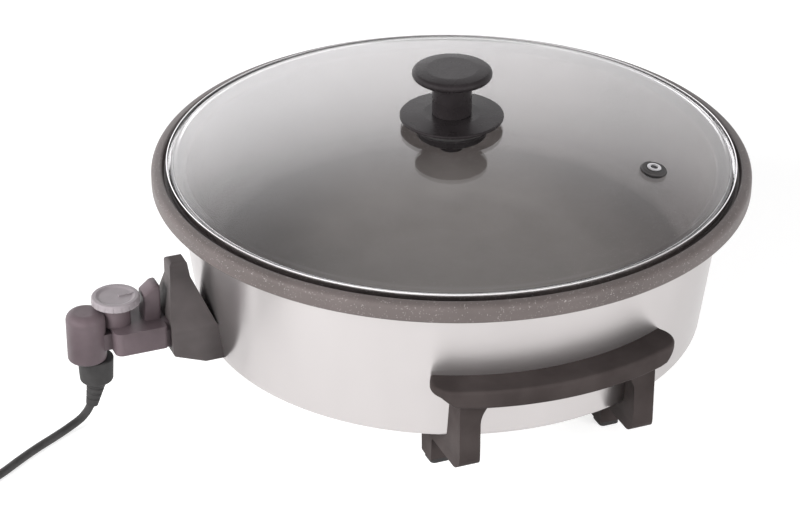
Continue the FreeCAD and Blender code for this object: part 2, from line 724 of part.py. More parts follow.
def foot_screws():
    """Four pan-head screws that hold handle, base and posts together."""
    screws = []
    for x, y in post_places():
        screws.append(screw(Vector(x, y, FOOT_SCREW_SEAT_Z), Vector(0, 0, 1), FOOT_SCREW_R,
                            FOOT_SCREW_HEAD_R, FOOT_SCREW_HEAD,
                            BASE_Z + BASE_THICK + 13 - FOOT_SCREW_SEAT_Z))
    return Part.makeCompound(screws)


def screw(seat, along, radius, head_r, head, length):
    """A pan-head screw with a cross recess, made along Z and then laid along its axis."""
    body = turned([
        (0, -head, 0), (head_r, -head, head * 0.45), (head_r, 0, 0), (radius, 0, 0),
        (radius, length - radius, 0), (radius * 0.3, length, 0), (0, length, 0),
    ])
    slot = head_r * 0.3
    for half_x, half_y in ((head_r * 0.6, slot / 2), (slot / 2, head_r * 0.6)):
        body = body.cut(Part.makeBox(2 * half_x, 2 * half_y, head * 0.5,
                                     Vector(-half_x, -half_y, -head - 0.01)))
    body.Placement = Placement(seat, Rotation(Vector(0, 0, 1), along))
    return body


# The socket for the thermostat

def socket_back_r():
    """How far the socket's back wall stands from the pan's axis."""
    return shell_radius(AXIS_Z) + SOCKET_STANDOFF


def socket_shroud():
    """The moulded socket: a box, hollow towards the plug, under a sloped face and a post."""
    low = AXIS_Z - SOCKET_LOW
    shoulder = AXIS_Z + SOCKET_SHOULDER
    neck = AXIS_Z + SOCKET_NECK
    top = AXIS_Z + SOCKET_TOP
    post = SOCKET_POST_HALF
    front_view = prism_y([
        (-SOCKET_HALF, low, 0), (SOCKET_HALF, low, 0), (SOCKET_HALF, shoulder, 6),
        (post, neck, 4), (post, top, 2.5), (-post, top, 2.5), (-post, neck, 4),
        (-SOCKET_HALF, shoulder, 6),
    ], -SOCKET_FACE_R - 5, -SHELL_BOTTOM_R + 15)
    post_front = -SOCKET_FACE_R + 4.0
    side_view = prism_x([
        (-SHELL_BOTTOM_R + 16, low, 0), (-SHELL_BOTTOM_R - 14, low, 4),
        (-SOCKET_FACE_R, low + SOCKET_RAISE, 3), (-SOCKET_FACE_R, shoulder + 9, 6),
        (post_front, neck, 4), (post_front, top, 2.5),
        (post_front + SOCKET_POST_DEPTH, top, 2), (post_front + SOCKET_POST_DEPTH + 2, neck, 4),
        (-SHELL_BOTTOM_R - 5, shoulder, 3), (-SHELL_BOTTOM_R + 16, shoulder - 6, 0),
    ], -SOCKET_HALF - 1, SOCKET_HALF + 1)
    body = front_view.common(side_view).cut(shell_envelope(SEAT_GAP))
    mouth = mouth_shape(0.0, -SOCKET_FACE_R - 1, -socket_back_r() - SOCKET_BACK)
    holes = []
    for side in (1, -1):
        x = side * TERMINAL_SPREAD
        holes.append(cylinder(TERMINAL_PIN_R + 0.1, Vector(x, -SOCKET_FACE_R, AXIS_Z),
                              Vector(x, -SHELL_BOTTOM_R, AXIS_Z)))
        holes.append(cylinder(INSULATOR_R + 0.1, Vector(x, -socket_back_r(), AXIS_Z),
                              Vector(x, -SHELL_BOTTOM_R, AXIS_Z)))
    holes.append(cylinder(ROD_R + FIT_GAP, Vector(0, -SOCKET_FACE_R, AXIS_Z),
                          Vector(0, -SHELL_BOTTOM_R, AXIS_Z)))
    holes.append(cylinder(GUIDE_R + 0.05, Vector(0, -socket_back_r(), AXIS_Z),
                          Vector(0, -SHELL_BOTTOM_R, AXIS_Z)))
    return body.cut(Part.makeCompound(holes)).cut(mouth)


def mouth_shape(gap, start, end):
    """The six-sided section that socket mouth and plug nose share."""
    half = MOUTH_HALF - gap
    low = AXIS_Z - MOUTH_LOW + gap
    high = AXIS_Z + MOUTH_HIGH - gap
    return prism_y([
        (-half, low, 2), (half, low, 2), (half, high - 5, 2), (half - 4, high, 2),
        (-half + 4, high, 2), (-half, high - 5, 2),
    ], start, end)


# The thermostat plug

def housing_block(inset, low, high):
    """The housing's block between two heights, drawn in by an inset."""
    half = HOUSING_HALF - inset
    start = -HOUSING_START - inset
    end = -HOUSING_END + inset
    return prism_z([
        (-half, start, 2), (-half, end, 5), (half, end, 5), (half, start, 2),
    ], low, high)


def housing_neck(inset):
    """The narrower and lower neck between the block and the cord column."""
    half = NECK_HALF - inset
    low = AXIS_Z - NECK_HALF_HEIGHT + inset
    high = AXIS_Z + NECK_HALF_HEIGHT - inset
    return prism_z([
        (-half, -HOUSING_END + 4, 0), (-half, -COLUMN_AT, 0),
        (half, -COLUMN_AT, 0), (half, -HOUSING_END + 4, 0),
    ], low, high)


def column_solid(inset):
    """The upright round column at the outer end, domed on top."""
    radius = COLUMN_R - inset
    column = turned([
        (0, AXIS_Z - COLUMN_LOW + inset, 0), (radius, AXIS_Z - COLUMN_LOW + inset, 2 - inset),
        (radius, AXIS_Z + COLUMN_TOP - inset, 6 - inset),
        (0, AXIS_Z + COLUMN_TOP - inset, 0),
    ])
    column.translate(Vector(0, -COLUMN_AT, 0))
    return column


def housing_outer():
    low = AXIS_Z - HOUSING_LOW
    high = AXIS_Z + HOUSING_HIGH
    body = housing_block(0, low, high).fuse(housing_neck(0)).fuse(column_solid(0))
    nose = mouth_shape(NOSE_GAP, -HOUSING_START - 1, -SOCKET_FACE_R + NOSE_DEPTH)
    turret = cylinder(TURRET_R, Vector(0, -DIAL_AT, high - 1),
                      Vector(0, -DIAL_AT, high + DIAL_LIFT - 1.5))
    return body.fuse(nose).fuse(turret).removeSplitter()


def housing_inner():
    low = AXIS_Z - HOUSING_LOW + HOUSING_WALL
    high = AXIS_Z + HOUSING_HIGH - HOUSING_WALL
    body = housing_block(HOUSING_WALL, low, high)
    body = body.fuse(housing_neck(HOUSING_WALL)).fuse(column_solid(HOUSING_WALL))
    nose = mouth_shape(NOSE_GAP + HOUSING_WALL + 2.5, -HOUSING_START - 4,
                       -SOCKET_FACE_R + NOSE_DEPTH - 6)
    return body.fuse(nose)


def housing_halves():
    """The upper and lower housing shells, split on the axis plane."""
    whole = housing_outer().cut(housing_inner())
    openings = []
    for side in (1, -1):
        x = side * TERMINAL_SPREAD
        openings.append(cylinder(CONTACT_R + 0.05, Vector(x, -HOUSING_START, AXIS_Z),
                                 Vector(x, -SOCKET_FACE_R + NOSE_DEPTH + 1, AXIS_Z)))
    openings.append(cylinder(ROD_R + 0.05, Vector(0, -HOUSING_START, AXIS_Z),
                             Vector(0, -SOCKET_FACE_R + NOSE_DEPTH + 1, AXIS_Z)))
    top = AXIS_Z + HOUSING_HIGH + DIAL_LIFT
    openings.append(cylinder(SPINDLE_R + FIT_GAP, Vector(0, -DIAL_AT, AXIS_Z),
                             Vector(0, -DIAL_AT, top)))
    lamp = lamp_place()
    openings.append(cylinder(LAMP_R + 0.05, Vector(lamp.x, lamp.y, AXIS_Z),
                             Vector(lamp.x, lamp.y, top)))
    openings.append(cylinder(RELIEF_NECK_R + 0.05,
                             Vector(0, -RELIEF_AT, AXIS_Z - COLUMN_LOW - 1),
                             Vector(0, -RELIEF_AT, AXIS_Z - COLUMN_LOW + 3)))
    for place in housing_screw_places():
        openings.append(cylinder(1.6, Vector(place.x, place.y, AXIS_Z - 20),
                                 Vector(place.x, place.y, AXIS_Z + 5)))
        openings.append(cylinder(3.1, Vector(place.x, place.y, AXIS_Z - 20),
                                 Vector(place.x, place.y, screw_seat_z())))
    pillars = []
    for place in housing_screw_places():
        pillars.append(cylinder(4.0, Vector(place.x, place.y, AXIS_Z - HOUSING_LOW + 1),
                                Vector(place.x, place.y, AXIS_Z + HOUSING_HIGH - 1)))
    for pillar in pillars:
        whole = whole.fuse(pillar)
    whole = whole.cut(Part.makeCompound(openings[:3]))
    for opening in openings[3:]:
        whole = whole.cut(opening)
    wide = 4 * HOUSING_HALF
    long = COLUMN_AT
    tall = 3 * COLUMN_TOP
    corner = Vector(-wide / 2, -COLUMN_AT - wide / 2, AXIS_Z)
    above = Part.makeBox(wide, long, tall, corner)
    below = Part.makeBox(wide, long, tall, corner - Vector(0, 0, tall))
    return whole.common(above), whole.common(below)


def lamp_place():
    return Vector(0, -HOUSING_START - LAMP_INSET, AXIS_Z + HOUSING_HIGH)


def housing_screw_places():
    """Where the two housing screws stand."""
    x = HOUSING_HALF - 7.0
    return [Vector(x, -HOUSING_END + 16, 0), Vector(-x, -HOUSING_END + 16, 0)]


def screw_seat_z():
    return AXIS_Z - HOUSING_LOW + 3.0


def housing_screws():
    screws = []
    for place in housing_screw_places():
        seat = Vector(place.x, place.y, screw_seat_z())
        screws.append(screw(seat, Vector(0, 0, 1), 1.5, 2.9, 2.0, 8.5))
    return Part.makeCompound(screws)


def contact_tubes():
    """The two sleeves that grip the terminal pins."""
    sleeves = []
    front = -SOCKET_FACE_R + NOSE_DEPTH
    for side in (1, -1):
        x = side * TERMINAL_SPREAD
        sleeve = cylinder(CONTACT_R, Vector(x, front, AXIS_Z),
                          Vector(x, -PIN_TIP_R - 4, AXIS_Z))
        bore = cylinder(TERMINAL_PIN_R + FIT_GAP, Vector(x, front, AXIS_Z),
                        Vector(x, -PIN_TIP_R - 1.5, AXIS_Z))
        sleeves.append(sleeve.cut(bore))
    return Part.makeCompound(sleeves)


def sensor_rod():
    """The steel sensor rod that slides into the guide under the pan."""
    root = -HOUSING_START - 8
    rod = cylinder(ROD_R, Vector(0, root, AXIS_Z), Vector(0, -ROD_TIP, AXIS_Z))
    rod = rounded_tip(rod, Vector(0, -ROD_TIP, AXIS_Z), ROD_R * 0.8)
    collar = cylinder(ROD_R + 1.4, Vector(0, root, AXIS_Z), Vector(0, root - 3, AXIS_Z))
    return rod.fuse(collar).removeSplitter()


def switch_block():
    """The moulded block with the bimetal switch that dial and sensor act on."""
    low = AXIS_Z - HOUSING_LOW + HOUSING_WALL
    high = AXIS_Z + HOUSING_HIGH - HOUSING_WALL - 1
    start = -HOUSING_START - 11.5
    end = -HOUSING_END + HOUSING_WALL + 0.3
    block = prism_z([
        (-7, start, 1.5), (7, start, 1.5), (7, end, 1.5), (-7, end, 1.5),
    ], low, high)
    seat = cylinder(SPINDLE_R + 1.6, Vector(0, -DIAL_AT, AXIS_Z - 2.3),
                    Vector(0, -DIAL_AT, high + 1))
    return block.cut(seat)


def pilot_lamp():
    """The small round lamp lens on top of the housing."""
    place = lamp_place()
    lens = turned([
        (0, -HOUSING_WALL - 1, 0), (LAMP_R, -HOUSING_WALL - 1, 0), (LAMP_R, 0, 0),
        (LAMP_R + 0.8, 0, 0), (LAMP_R + 0.8, 0.8, 0.6), (LAMP_R - 0.4, 1.6, 0.9),
        (0, 1.8, 0),
    ])
    lens.translate(place)
    return lens


def dial_spindle():
    low = AXIS_Z - 2.0
    top = AXIS_Z + HOUSING_HIGH + DIAL_LIFT + DIAL_THICK - 2.5
    spindle = cylinder(SPINDLE_R, Vector(0, -DIAL_AT, low), Vector(0, -DIAL_AT, top))
    collar = cylinder(SPINDLE_R + 0.9, Vector(0, -DIAL_AT, low),
                      Vector(0, -DIAL_AT, low + 2))
    return spindle.fuse(collar).removeSplitter()


def dial():
    """The control dial: a thin disc with a fluted edge, a dished top and a pointer ridge."""
    low = AXIS_Z + HOUSING_HIGH + DIAL_LIFT
    top = low + DIAL_THICK
    cup = turned([
        (0, top - 1.3, 0), (DIAL_R - 5.4, top - 1.0, 2), (DIAL_R - 3.4, top, 1),
        (DIAL_R - 0.4, top, 1.2), (DIAL_R, low, 0.3), (DIAL_R - 1.8, low, 0.3),
        (DIAL_R - 2.2, top - 2.8, 0.5), (SPINDLE_R + 3, top - 2.8, 0.5), (SPINDLE_R + 3, low, 0),
        (0, low, 0),
    ])
    pointer = prism_z([
        (-1.2, 2.0, 0.5), (1.2, 2.0, 0.5), (0.8, DIAL_R - 4.0, 0.5), (-0.8, DIAL_R - 4.0, 0.5),
    ], top - 2.0, top - 0.1)
    shape = cup.fuse(pointer).removeSplitter()
    flutes = []
    for i in range(DIAL_FLUTES):
        angle = 2 * math.pi * i / DIAL_FLUTES
        at = Vector((DIAL_R + 0.8) * math.cos(angle), (DIAL_R + 0.8) * math.sin(angle), low - 1)
        flutes.append(Part.makeCylinder(1.3, DIAL_THICK + 2, at, Vector(0, 0, 1)))
    flutes.append(cylinder(SPINDLE_R + 0.02, Vector(0, 0, low - 1), Vector(0, 0, top - 2.4)))
    shape = shape.cut(Part.makeCompound(flutes))
    shape.translate(Vector(0, -DIAL_AT, 0))
    return shape


def relief_line(down):
    """A place on the sleeve's leaning axis, a distance below its collar."""
    lean = math.radians(RELIEF_LEAN)
    start = Vector(0, -RELIEF_AT, AXIS_Z - COLUMN_LOW - RELIEF_COLLAR)
    return start + Vector(0, -math.sin(lean), -math.cos(lean)) * down


def relief_tail_length():
    collar_low = AXIS_Z - COLUMN_LOW - RELIEF_COLLAR
    return (collar_low - RELIEF_TIP_Z) / math.cos(math.radians(RELIEF_LEAN))


def strain_relief():
    """The rubber sleeve under the column: a wide collar and a leaning, tapered tail."""
    top = AXIS_Z - COLUMN_LOW
    flange_z = top + HOUSING_WALL + 0.05
    collar = turned([
        (0, top + 3.6, 0), (RELIEF_NECK_R + 1.0, top + 3.6, 0.5),
        (RELIEF_NECK_R + 1.0, flange_z, 0), (RELIEF_NECK_R, flange_z, 0),
        (RELIEF_NECK_R, top - 0.05, 0), (RELIEF_R, top - 0.05, 1.2),
        (RELIEF_R - 1, top - RELIEF_COLLAR, 2.0), (0, top - RELIEF_COLLAR, 0),
    ])
    length = relief_tail_length()
    tail = turned([
        (0, -3, 0), (7.2, -3, 0), (6.6, 2, 0), (CORD_R + 1.2, length, 0.8), (0, length, 0),
    ])
    grooves = []
    for i in range(3):
        at = length * (0.25 + 0.22 * i)
        grooves.append(Part.makeTorus(6.9 - 0.14 * at, 0.8, Vector(0, 0, at), Vector(0, 0, 1)))
    tail = tail.cut(Part.makeCompound(grooves))
    down = relief_line(1) - relief_line(0)
    tail.Placement = Placement(relief_line(0), Rotation(Vector(0, 0, 1), down))
    collar.translate(Vector(0, -RELIEF_AT, 0))
    bore = cylinder(CORD_R + 0.05, relief_line(length - 9), relief_line(length + 2))
    return collar.fuse(tail).removeSplitter().cut(bore)


def coil_start_r():
    return COIL_INNER_R + COIL_PITCH * COIL_LOW_TURNS


def coil_turns():
    return COIL_LOW_TURNS + 0.5 + COIL_HIGH_TURNS


def coil_point(turn):
    """A place on the coil: it winds in on the table, climbs half a turn and winds out."""
    past_climb = turn - COIL_LOW_TURNS - 0.5
    if turn <= COIL_LOW_TURNS:
        radius = coil_start_r() - COIL_PITCH * turn
        z = CORD_Z
    elif past_climb >= 0:
        radius = COIL_INNER_R + COIL_PITCH * past_climb
        z = CORD_Z + COIL_CLIMB
    else:
        radius = COIL_INNER_R
        share = (turn - COIL_LOW_TURNS) / 0.5
        z = CORD_Z + COIL_CLIMB * (1 - math.cos(math.pi * share)) / 2
    angle = math.radians(COIL_ENTRY) - 2 * math.pi * turn
    return Vector(COIL_X + radius * math.cos(angle), COIL_Y + radius * math.sin(angle), z)


def coil_tangent(turn):
    """Direction of the cord on the coil; level and square to the radius at both ends."""
    if turn <= 0 or turn >= coil_turns():
        angle = math.radians(COIL_ENTRY) - 2 * math.pi * turn
        return Vector(math.sin(angle), -math.cos(angle), 0)
    step = 1e-4
    along = coil_point(turn + step) - coil_point(turn - step)
    along.normalize()
    return along


def biarc(start, start_along, end, end_along):
    """Two arcs that join two points with given directions."""
    gap = end - start
    both = start_along + end_along
    lead = gap.dot(both)
    spread = 2 * (1 - start_along.dot(end_along))
    reach = (-lead + math.sqrt(lead * lead + spread * gap.dot(gap))) / spread
    first = start + start_along * reach
    second = end - end_along * reach
    middle = (first + second) * 0.5
    return [corner_arc(start, first, middle), corner_arc(middle, second, end)]


def corner_arc(start, corner, end):
    """The arc that touches both legs of a corner at equal distances."""
    chord_middle = (start + end) * 0.5
    half_chord = (end - start).Length / 2
    height = (corner - chord_middle).Length
    leg = (corner - start).Length
    radius = half_chord * leg / height
    rise = radius - math.sqrt(radius * radius - half_chord * half_chord)
    top = chord_middle + (corner - chord_middle) * (rise / height)
    return Part.Arc(start, top, end).toShape()


def cord_coil():
    """The put-away length: one unbroken tube that winds in and out in two layers."""
    parts = int(round(4 * coil_turns()))
    first = coil_point(0)
    run = 2 * CORD_R
    edges = [Part.LineSegment(first - coil_tangent(0) * run, first).toShape()]
    for i in range(parts):
        edges += biarc(coil_point(i / 4), coil_tangent(i / 4),
                       coil_point((i + 1) / 4), coil_tangent((i + 1) / 4))
    last = coil_point(parts / 4)
    edges.append(Part.LineSegment(last, last + coil_tangent(parts / 4) * run).toShape())
    print_least_gap()
    return tube_along(Part.Wire(edges), CORD_R)


def print_least_gap():
    """Print the least distance between the coil's turns, less the cord's diameter."""
    steps = 48
    points = [coil_point(i / steps) for i in range(int(steps * coil_turns()) + 1)]
    least = min((points[i] - points[j]).Length
                for i in range(len(points)) for j in range(i + steps // 2, len(points)))
    print("least gap between the coil's turns:", round(least - 2 * CORD_R, 2))


def route(points):
    """A cord's centre line through hand-placed points, with every bend an arc."""
    corners = [(points[0], 0)]
    for back, here, on in zip(points, points[1:], points[2:]):
        before = here - back
        after = on - here
        turn = before.getAngle(after)
        reach = 0.45 * min(before.Length, after.Length)
        corners.append((here, reach / math.tan(turn / 2) if turn > 1e-3 else 0))
    corners.append((points[-1], 0))
    radii = [round(r, 1) for _, r in corners if r > 0]
    print("bend radii along the cord:", radii)
    return rounded_path(corners, closed=False)


def power_cord():
    """The free lead from the strain relief down to the table and along to the coil."""
    end = coil_point(0) - coil_tangent(0) * 2 * CORD_R
    tail = relief_tail_length()
    below = relief_line(tail + 5.5)
    floor = Vector(0, below.y, CORD_Z)
    return tube_along(route([
        relief_line(tail - 8.5), below,
        floor + Vector(BEND_1_X, -BEND_1_Y, 0), floor + Vector(BEND_2_X, -BEND_2_Y, 0),
        end - coil_tangent(0) * 38, end,
    ]), CORD_R)


def plug_tilt():
    """The plug lies on its tail and on the back edge of its collar."""
    return math.atan((PLUG_R - PLUG_TAIL_R) / (PLUG_LENGTH - PLUG_COLLAR - 6.0))


def plug_place():
    """Middle of the plug's tail end and the direction in which its pins point."""
    tilt = plug_tilt()
    heading = math.radians(PLUG_HEADING)
    along = Vector(math.cos(heading) * math.cos(tilt), math.sin(heading) * math.cos(tilt),
                   math.sin(tilt))
    z = PLUG_TAIL_R * math.cos(tilt) - 6.0 * math.sin(tilt) + 0.05
    return Vector(PLUG_X, PLUG_Y, z), along


def cord_tail():
    """The last piece of cord, from the coil's top layer down to the table and the plug."""
    along = coil_tangent(coil_turns())
    start = coil_point(coil_turns()) + along * 2 * CORD_R
    plug, plug_along = plug_place()
    ahead = Vector(along.x, along.y, 0)
    landed = start + ahead * 34
    lift = plug - plug_along * ((plug.z - CORD_Z) / plug_along.z)
    return tube_along(route([
        start, start + ahead * 8, Vector(landed.x, landed.y, CORD_Z), lift,
        plug + plug_along * 8,
    ]), CORD_R)


def along_plug(shape):
    """Move a piece made along Z to the plug's place."""
    place, along = plug_place()
    side = Vector(-along.y, along.x, 0)
    side.normalize()
    up = along.cross(side)
    shape.Placement = Placement(place, Rotation(side, up, along, "ZXY"))
    return shape


def plug_body():
    """The moulded round mains plug with a ribbed tail and two grooves for the earth clips."""
    collar_z = PLUG_LENGTH - PLUG_COLLAR
    body = turned([
        (0, 0, 0), (6.0, 0, 1.5), (PLUG_TAIL_R, 6, 0.8), (PLUG_TAIL_R + 1.5, 16, 6),
        (PLUG_R, collar_z, 0.8), (PLUG_R, PLUG_LENGTH, 1.2), (0, PLUG_LENGTH, 0),
    ])
    holes = [cylinder(CORD_R + 0.05, Vector(0, 0, -1), Vector(0, 0, 8.5))]
    for side in (1, -1):
        holes.append(Part.makeBox(6.4, 1.5, PLUG_COLLAR - 2,
                                  Vector(-3.2, side * (PLUG_R - 0.75) - 0.75, collar_z + 2.01)))
        x = side * PIN_SPREAD
        holes.append(cylinder(PIN_R + 0.02, Vector(x, 0, PLUG_LENGTH - 8),
                              Vector(x, 0, PLUG_LENGTH + 1)))
    return along_plug(body.cut(Part.makeCompound(holes)))


def plug_pins():
    pins = []
    for side in (1, -1):
        x = side * PIN_SPREAD
        tip = Vector(x, 0, PLUG_LENGTH + PIN_LENGTH)
        pin = cylinder(PIN_R, Vector(x, 0, PLUG_LENGTH - 8), tip)
        pins.append(rounded_tip(pin, tip, 1.8))
    return along_plug(Part.makeCompound(pins))


def plug_earth_clips():
    """Two flat spring contacts that lie in the grooves on the plug's collar."""
    clips = []
    collar_z = PLUG_LENGTH - PLUG_COLLAR
    for side in (1, -1):
        clips.append(Part.makeBox(6.0, 0.8, PLUG_COLLAR - 2.6,
                                  Vector(-3.0, side * (PLUG_R - 1.0) - 0.4, collar_z + 2.3)))
    return along_plug(Part.makeCompound(clips))


# The lid

def dome_solid(inset):
    """The glass's outer form as a solid, drawn in by an inset on every side."""
    rise = GLASS_RISE - SHOULDER_RISE
    sphere_r = (SHOULDER_R ** 2 + rise ** 2) / (2 * rise)
    top = Vector(0, 0, APEX_Z)
    shoulder = Vector(SHOULDER_R, 0, SEAT_Z + SHOULDER_RISE)
    part_way = SHOULDER_R / 2
    drop = sphere_r - math.sqrt(sphere_r ** 2 - part_way ** 2)
    middle = Vector(part_way, 0, APEX_Z - drop)
    low = LID_Z + BAND_THICK + SEAT_GAP
    foot = Vector(glass_edge_r(), 0, low)
    turn = Vector(glass_edge_r(), 0, SEAT_Z + GLASS_EDGE_RISE)
    wire = Part.Wire([
        Part.LineSegment(Vector(0, 0, low), foot).toShape(),
        Part.LineSegment(foot, turn).toShape(),
        Part.LineSegment(turn, shoulder).toShape(),
        Part.Arc(shoulder, middle, top).toShape(),
        Part.LineSegment(top, Vector(0, 0, low)).toShape(),
    ])
    solid = Part.Face(wire).revolve(Vector(0, 0, 0), Vector(0, 0, 1), 360)
    solid = solid.makeFillet(SHOULDER_ROUND, circles_at(solid, shoulder.z))
    return solid.makeFillet(GLASS_THICK + 1, circles_at(solid, turn.z))


def glass_edge_r():
    return BAND_R - BAND_THICK - 0.2


def lid_glass():
    """The domed glass with its steep edge, one hole for the knob and one for the vent."""
    solid = dome_solid(0)
    floor = [f for f in solid.Faces if abs(f.BoundBox.ZMax - solid.BoundBox.ZMin) < 0.01]
    glass = solid.makeThickness(floor, -GLASS_THICK, 0.001)
    knob_hole = cylinder(GLASS_BORE_R, Vector(0, 0, SEAT_Z), Vector(0, 0, APEX_Z + 5))
    vent_hole = on_dome(cylinder(VENT_NECK_R + 0.1, Vector(0, 0, -20), Vector(0, 0, 20)))
    return glass.cut(knob_hole).cut(vent_hole)


def on_dome(shape):
    """Move a piece made round Z to the vent's place, square to the glass."""
    rise = GLASS_RISE - SHOULDER_RISE
    sphere_r = (SHOULDER_R ** 2 + rise ** 2) / (2 * rise)
    tilt = math.asin(VENT_AT_R / sphere_r)
    z = APEX_Z - sphere_r + sphere_r * math.cos(tilt)
    turn = Rotation(Vector(0, 0, 1), VENT_ANGLE)
    lean = Rotation(Vector(0, 1, 0), math.degrees(tilt))
    shape.Placement = Placement(turn.multVec(Vector(VENT_AT_R, 0, z)), turn.multiply(lean))
    return shape


def lid_rim_band():
    """The steel channel that wraps the glass's edge."""
    outer = BAND_R
    inner = glass_edge_r() - GLASS_THICK - 0.2 - BAND_THICK
    channel = turned([
        (inner, LID_Z, 0.3), (outer, LID_Z, 0.5), (outer, LID_Z + BAND_HEIGHT, 0.3),
        (outer - BAND_THICK, LID_Z + BAND_HEIGHT, 0.3),
        (outer - BAND_THICK, LID_Z + BAND_THICK, 0), (inner + BAND_THICK, LID_Z + BAND_THICK, 0),
        (inner + BAND_THICK, LID_Z + 4.0, 0.3), (inner, LID_Z + 4.0, 0.3),
    ])
    return channel


def knob_seals():
    """Two silicone washers, one on each side of the glass."""
    upper = cylinder(KNOB_SEAL_R, Vector(0, 0, APEX_Z - 3), Vector(0, 0, seal_top_z()))
    upper = upper.cut(dome_solid(0).translated(Vector(0, 0, 0.1)))
    under_glass = APEX_Z - GLASS_THICK
    lower = cylinder(BOSS_R - 1, Vector(0, 0, under_glass - 0.6 - KNOB_SEAL_THICK),
                     Vector(0, 0, under_glass - 0.5))
    bore = cylinder(GLASS_BORE_R, Vector(0, 0, SEAT_Z), Vector(0, 0, APEX_Z + 9))
    return Part.makeCompound([upper.cut(bore), lower.cut(bore)])


def seal_top_z():
    return APEX_Z + 0.1 + KNOB_SEAL_THICK


def skirt_top_z():
    return seal_top_z() + 0.1 + SKIRT_THICK


def knob_skirt():
    """The wide guard disc between the knob and the glass."""
    low = seal_top_z() + 0.1
    edge_top = skirt_top_z() - 1.0
    return turned([
        (KNOB_SCREW_R + 0.2, low, 0), (KNOB_SEAL_R, low, 1), (SKIRT_R, edge_top - SKIRT_EDGE, 0.8),
        (SKIRT_R, edge_top, 0.9), (STEM_R + 6, skirt_top_z(), 6),
        (KNOB_SCREW_R + 0.2, skirt_top_z(), 0),
    ])


def lid_knob():
    """The grip: a thick disc with a rounded rim on a waisted stem."""
    low = skirt_top_z() + 0.1
    disc_low = APEX_Z + KNOB_CLEAR - KNOB_THICK / 2
    disc_top = disc_low + KNOB_THICK
    bore_top = low + KNOB_THREAD
    return turned([
        (KNOB_SCREW_R + 0.02, low, 0), (STEM_R, low, 0.6), (STEM_R, disc_low + 1, 5),
        (KNOB_R, disc_low, 3.2), (KNOB_R, disc_top - 0.8, 3.2), (KNOB_R - 10, disc_top, 12),
        (0, disc_top, 0), (0, bore_top, 0),
        (KNOB_SCREW_R + 0.02, bore_top, 0),
    ])


def boss_top_z():
    return APEX_Z - GLASS_THICK - 0.6 - KNOB_SEAL_THICK - 0.1


def knob_screw_seat_z():
    return boss_top_z() - KNOB_SCREW_SEAT


def knob_boss():
    """The counterpart of the knob under the glass, recessed for the screw's head."""
    top = boss_top_z()
    low = top - BOSS_DROP + KNOB_SEAL_THICK
    return turned([
        (KNOB_SCREW_R + 0.2, top, 0), (BOSS_R, top, 1.2), (BOSS_R - 2, low, 2.5),
        (KNOB_SCREW_HEAD_R + 0.8, low, 0.6),
        (KNOB_SCREW_HEAD_R + 0.8, knob_screw_seat_z(), 0),
        (KNOB_SCREW_R + 0.2, knob_screw_seat_z(), 0),
    ])


def knob_screw():
    seat = knob_screw_seat_z() - 0.05
    length = skirt_top_z() + KNOB_THREAD - 3.0 - seat
    return screw(Vector(0, 0, seat), Vector(0, 0, 1), KNOB_SCREW_R, KNOB_SCREW_HEAD_R,
                 KNOB_SCREW_HEAD, length)


def vent_grommet():
    """The silicone ring that lines the steam hole in the glass."""
    bore = VENT_BORE_R + 0.75
    ring = turned([
        (bore, 1.8, 0.3), (VENT_R - 2, 1.8, 1.0), (VENT_R, 0.15, 0.6), (VENT_R - 0.8, 0.12, 0),
        (VENT_NECK_R, 0.12, 0), (VENT_NECK_R, -GLASS_THICK - 0.12, 0),
        (VENT_R - 3.0, -GLASS_THICK - 0.12, 0), (VENT_R - 3.6, -GLASS_THICK - 1.6, 0.5),
        (bore, -GLASS_THICK - 1.6, 0.3),
    ])
    return on_dome(ring)


def vent_eyelet():
    """The steel eyelet pressed through the ring."""
    outer = VENT_BORE_R + 0.7
    eyelet = turned([
        (VENT_BORE_R, 2.6, 0.3), (outer + 1.6, 2.6, 0.4), (outer + 1.6, 1.85, 0.2),
        (outer, 1.85, 0), (outer, -GLASS_THICK - 2.4, 0.2),
        (VENT_BORE_R, -GLASS_THICK - 2.4, 0.2),
    ])
    return on_dome(eyelet)


PIECES = [
    ("pan_bowl", pan_bowl),
    ("outer_shell", outer_shell),
    ("base_cover", base_cover),
    ("base_posts", base_posts),
    ("heat_plate", heat_plate),
    ("heating_element", heating_element),
    ("element_clamps", element_clamps),
    ("clamp_screws", clamp_screws),
    ("terminal_pins", terminal_pins),
    ("terminal_insulators", terminal_insulators),
    ("sensor_guide", sensor_guide),
    ("heat_shield", heat_shield),
    ("foot_pads", foot_pads),
    ("foot_screws", foot_screws),
    ("socket_shroud", socket_shroud),
    ("lid_glass", lid_glass),
    ("lid_rim_band", lid_rim_band),
    ("lid_knob", lid_knob),
    ("knob_skirt", knob_skirt),
    ("knob_seals", knob_seals),
    ("knob_boss", knob_boss),
    ("knob_screw", knob_screw),
    ("vent_grommet", vent_grommet),
    ("vent_eyelet", vent_eyelet),
    ("housing_screws", housing_screws),
    ("contact_tubes", contact_tubes),
    ("sensor_rod", sensor_rod),
    ("switch_block", switch_block),
    ("pilot_lamp", pilot_lamp),
    ("strain_relief", strain_relief),
    ("power_cord", power_cord),
    ("cord_coil", cord_coil),
    ("cord_tail", cord_tail),
    ("plug_body", plug_body),
    ("plug_pins", plug_pins),
    ("plug_earth_clips", plug_earth_clips),
    ("dial", dial),
    ("dial_spindle", dial_spindle),
]

for piece_name, make_piece in PIECES:
    save(piece_name, make_piece())

right_handle = handle()
save("handle_right", right_handle)
save("handle_left", half_turned(right_handle))

upper_half, lower_half = housing_halves()
save("housing_upper", upper_half)
save("housing_lower", lower_half)
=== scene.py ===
"""The round electric pizza pan, dressed for a studio photograph.

Objects are in metres, in the frame of the CAD. The turned pieces take their outlines from
the sizes in millimetres below, and turned() divides them by MM.
"""

import json
import math

import bmesh
import bpy
from mathutils import Matrix, Vector


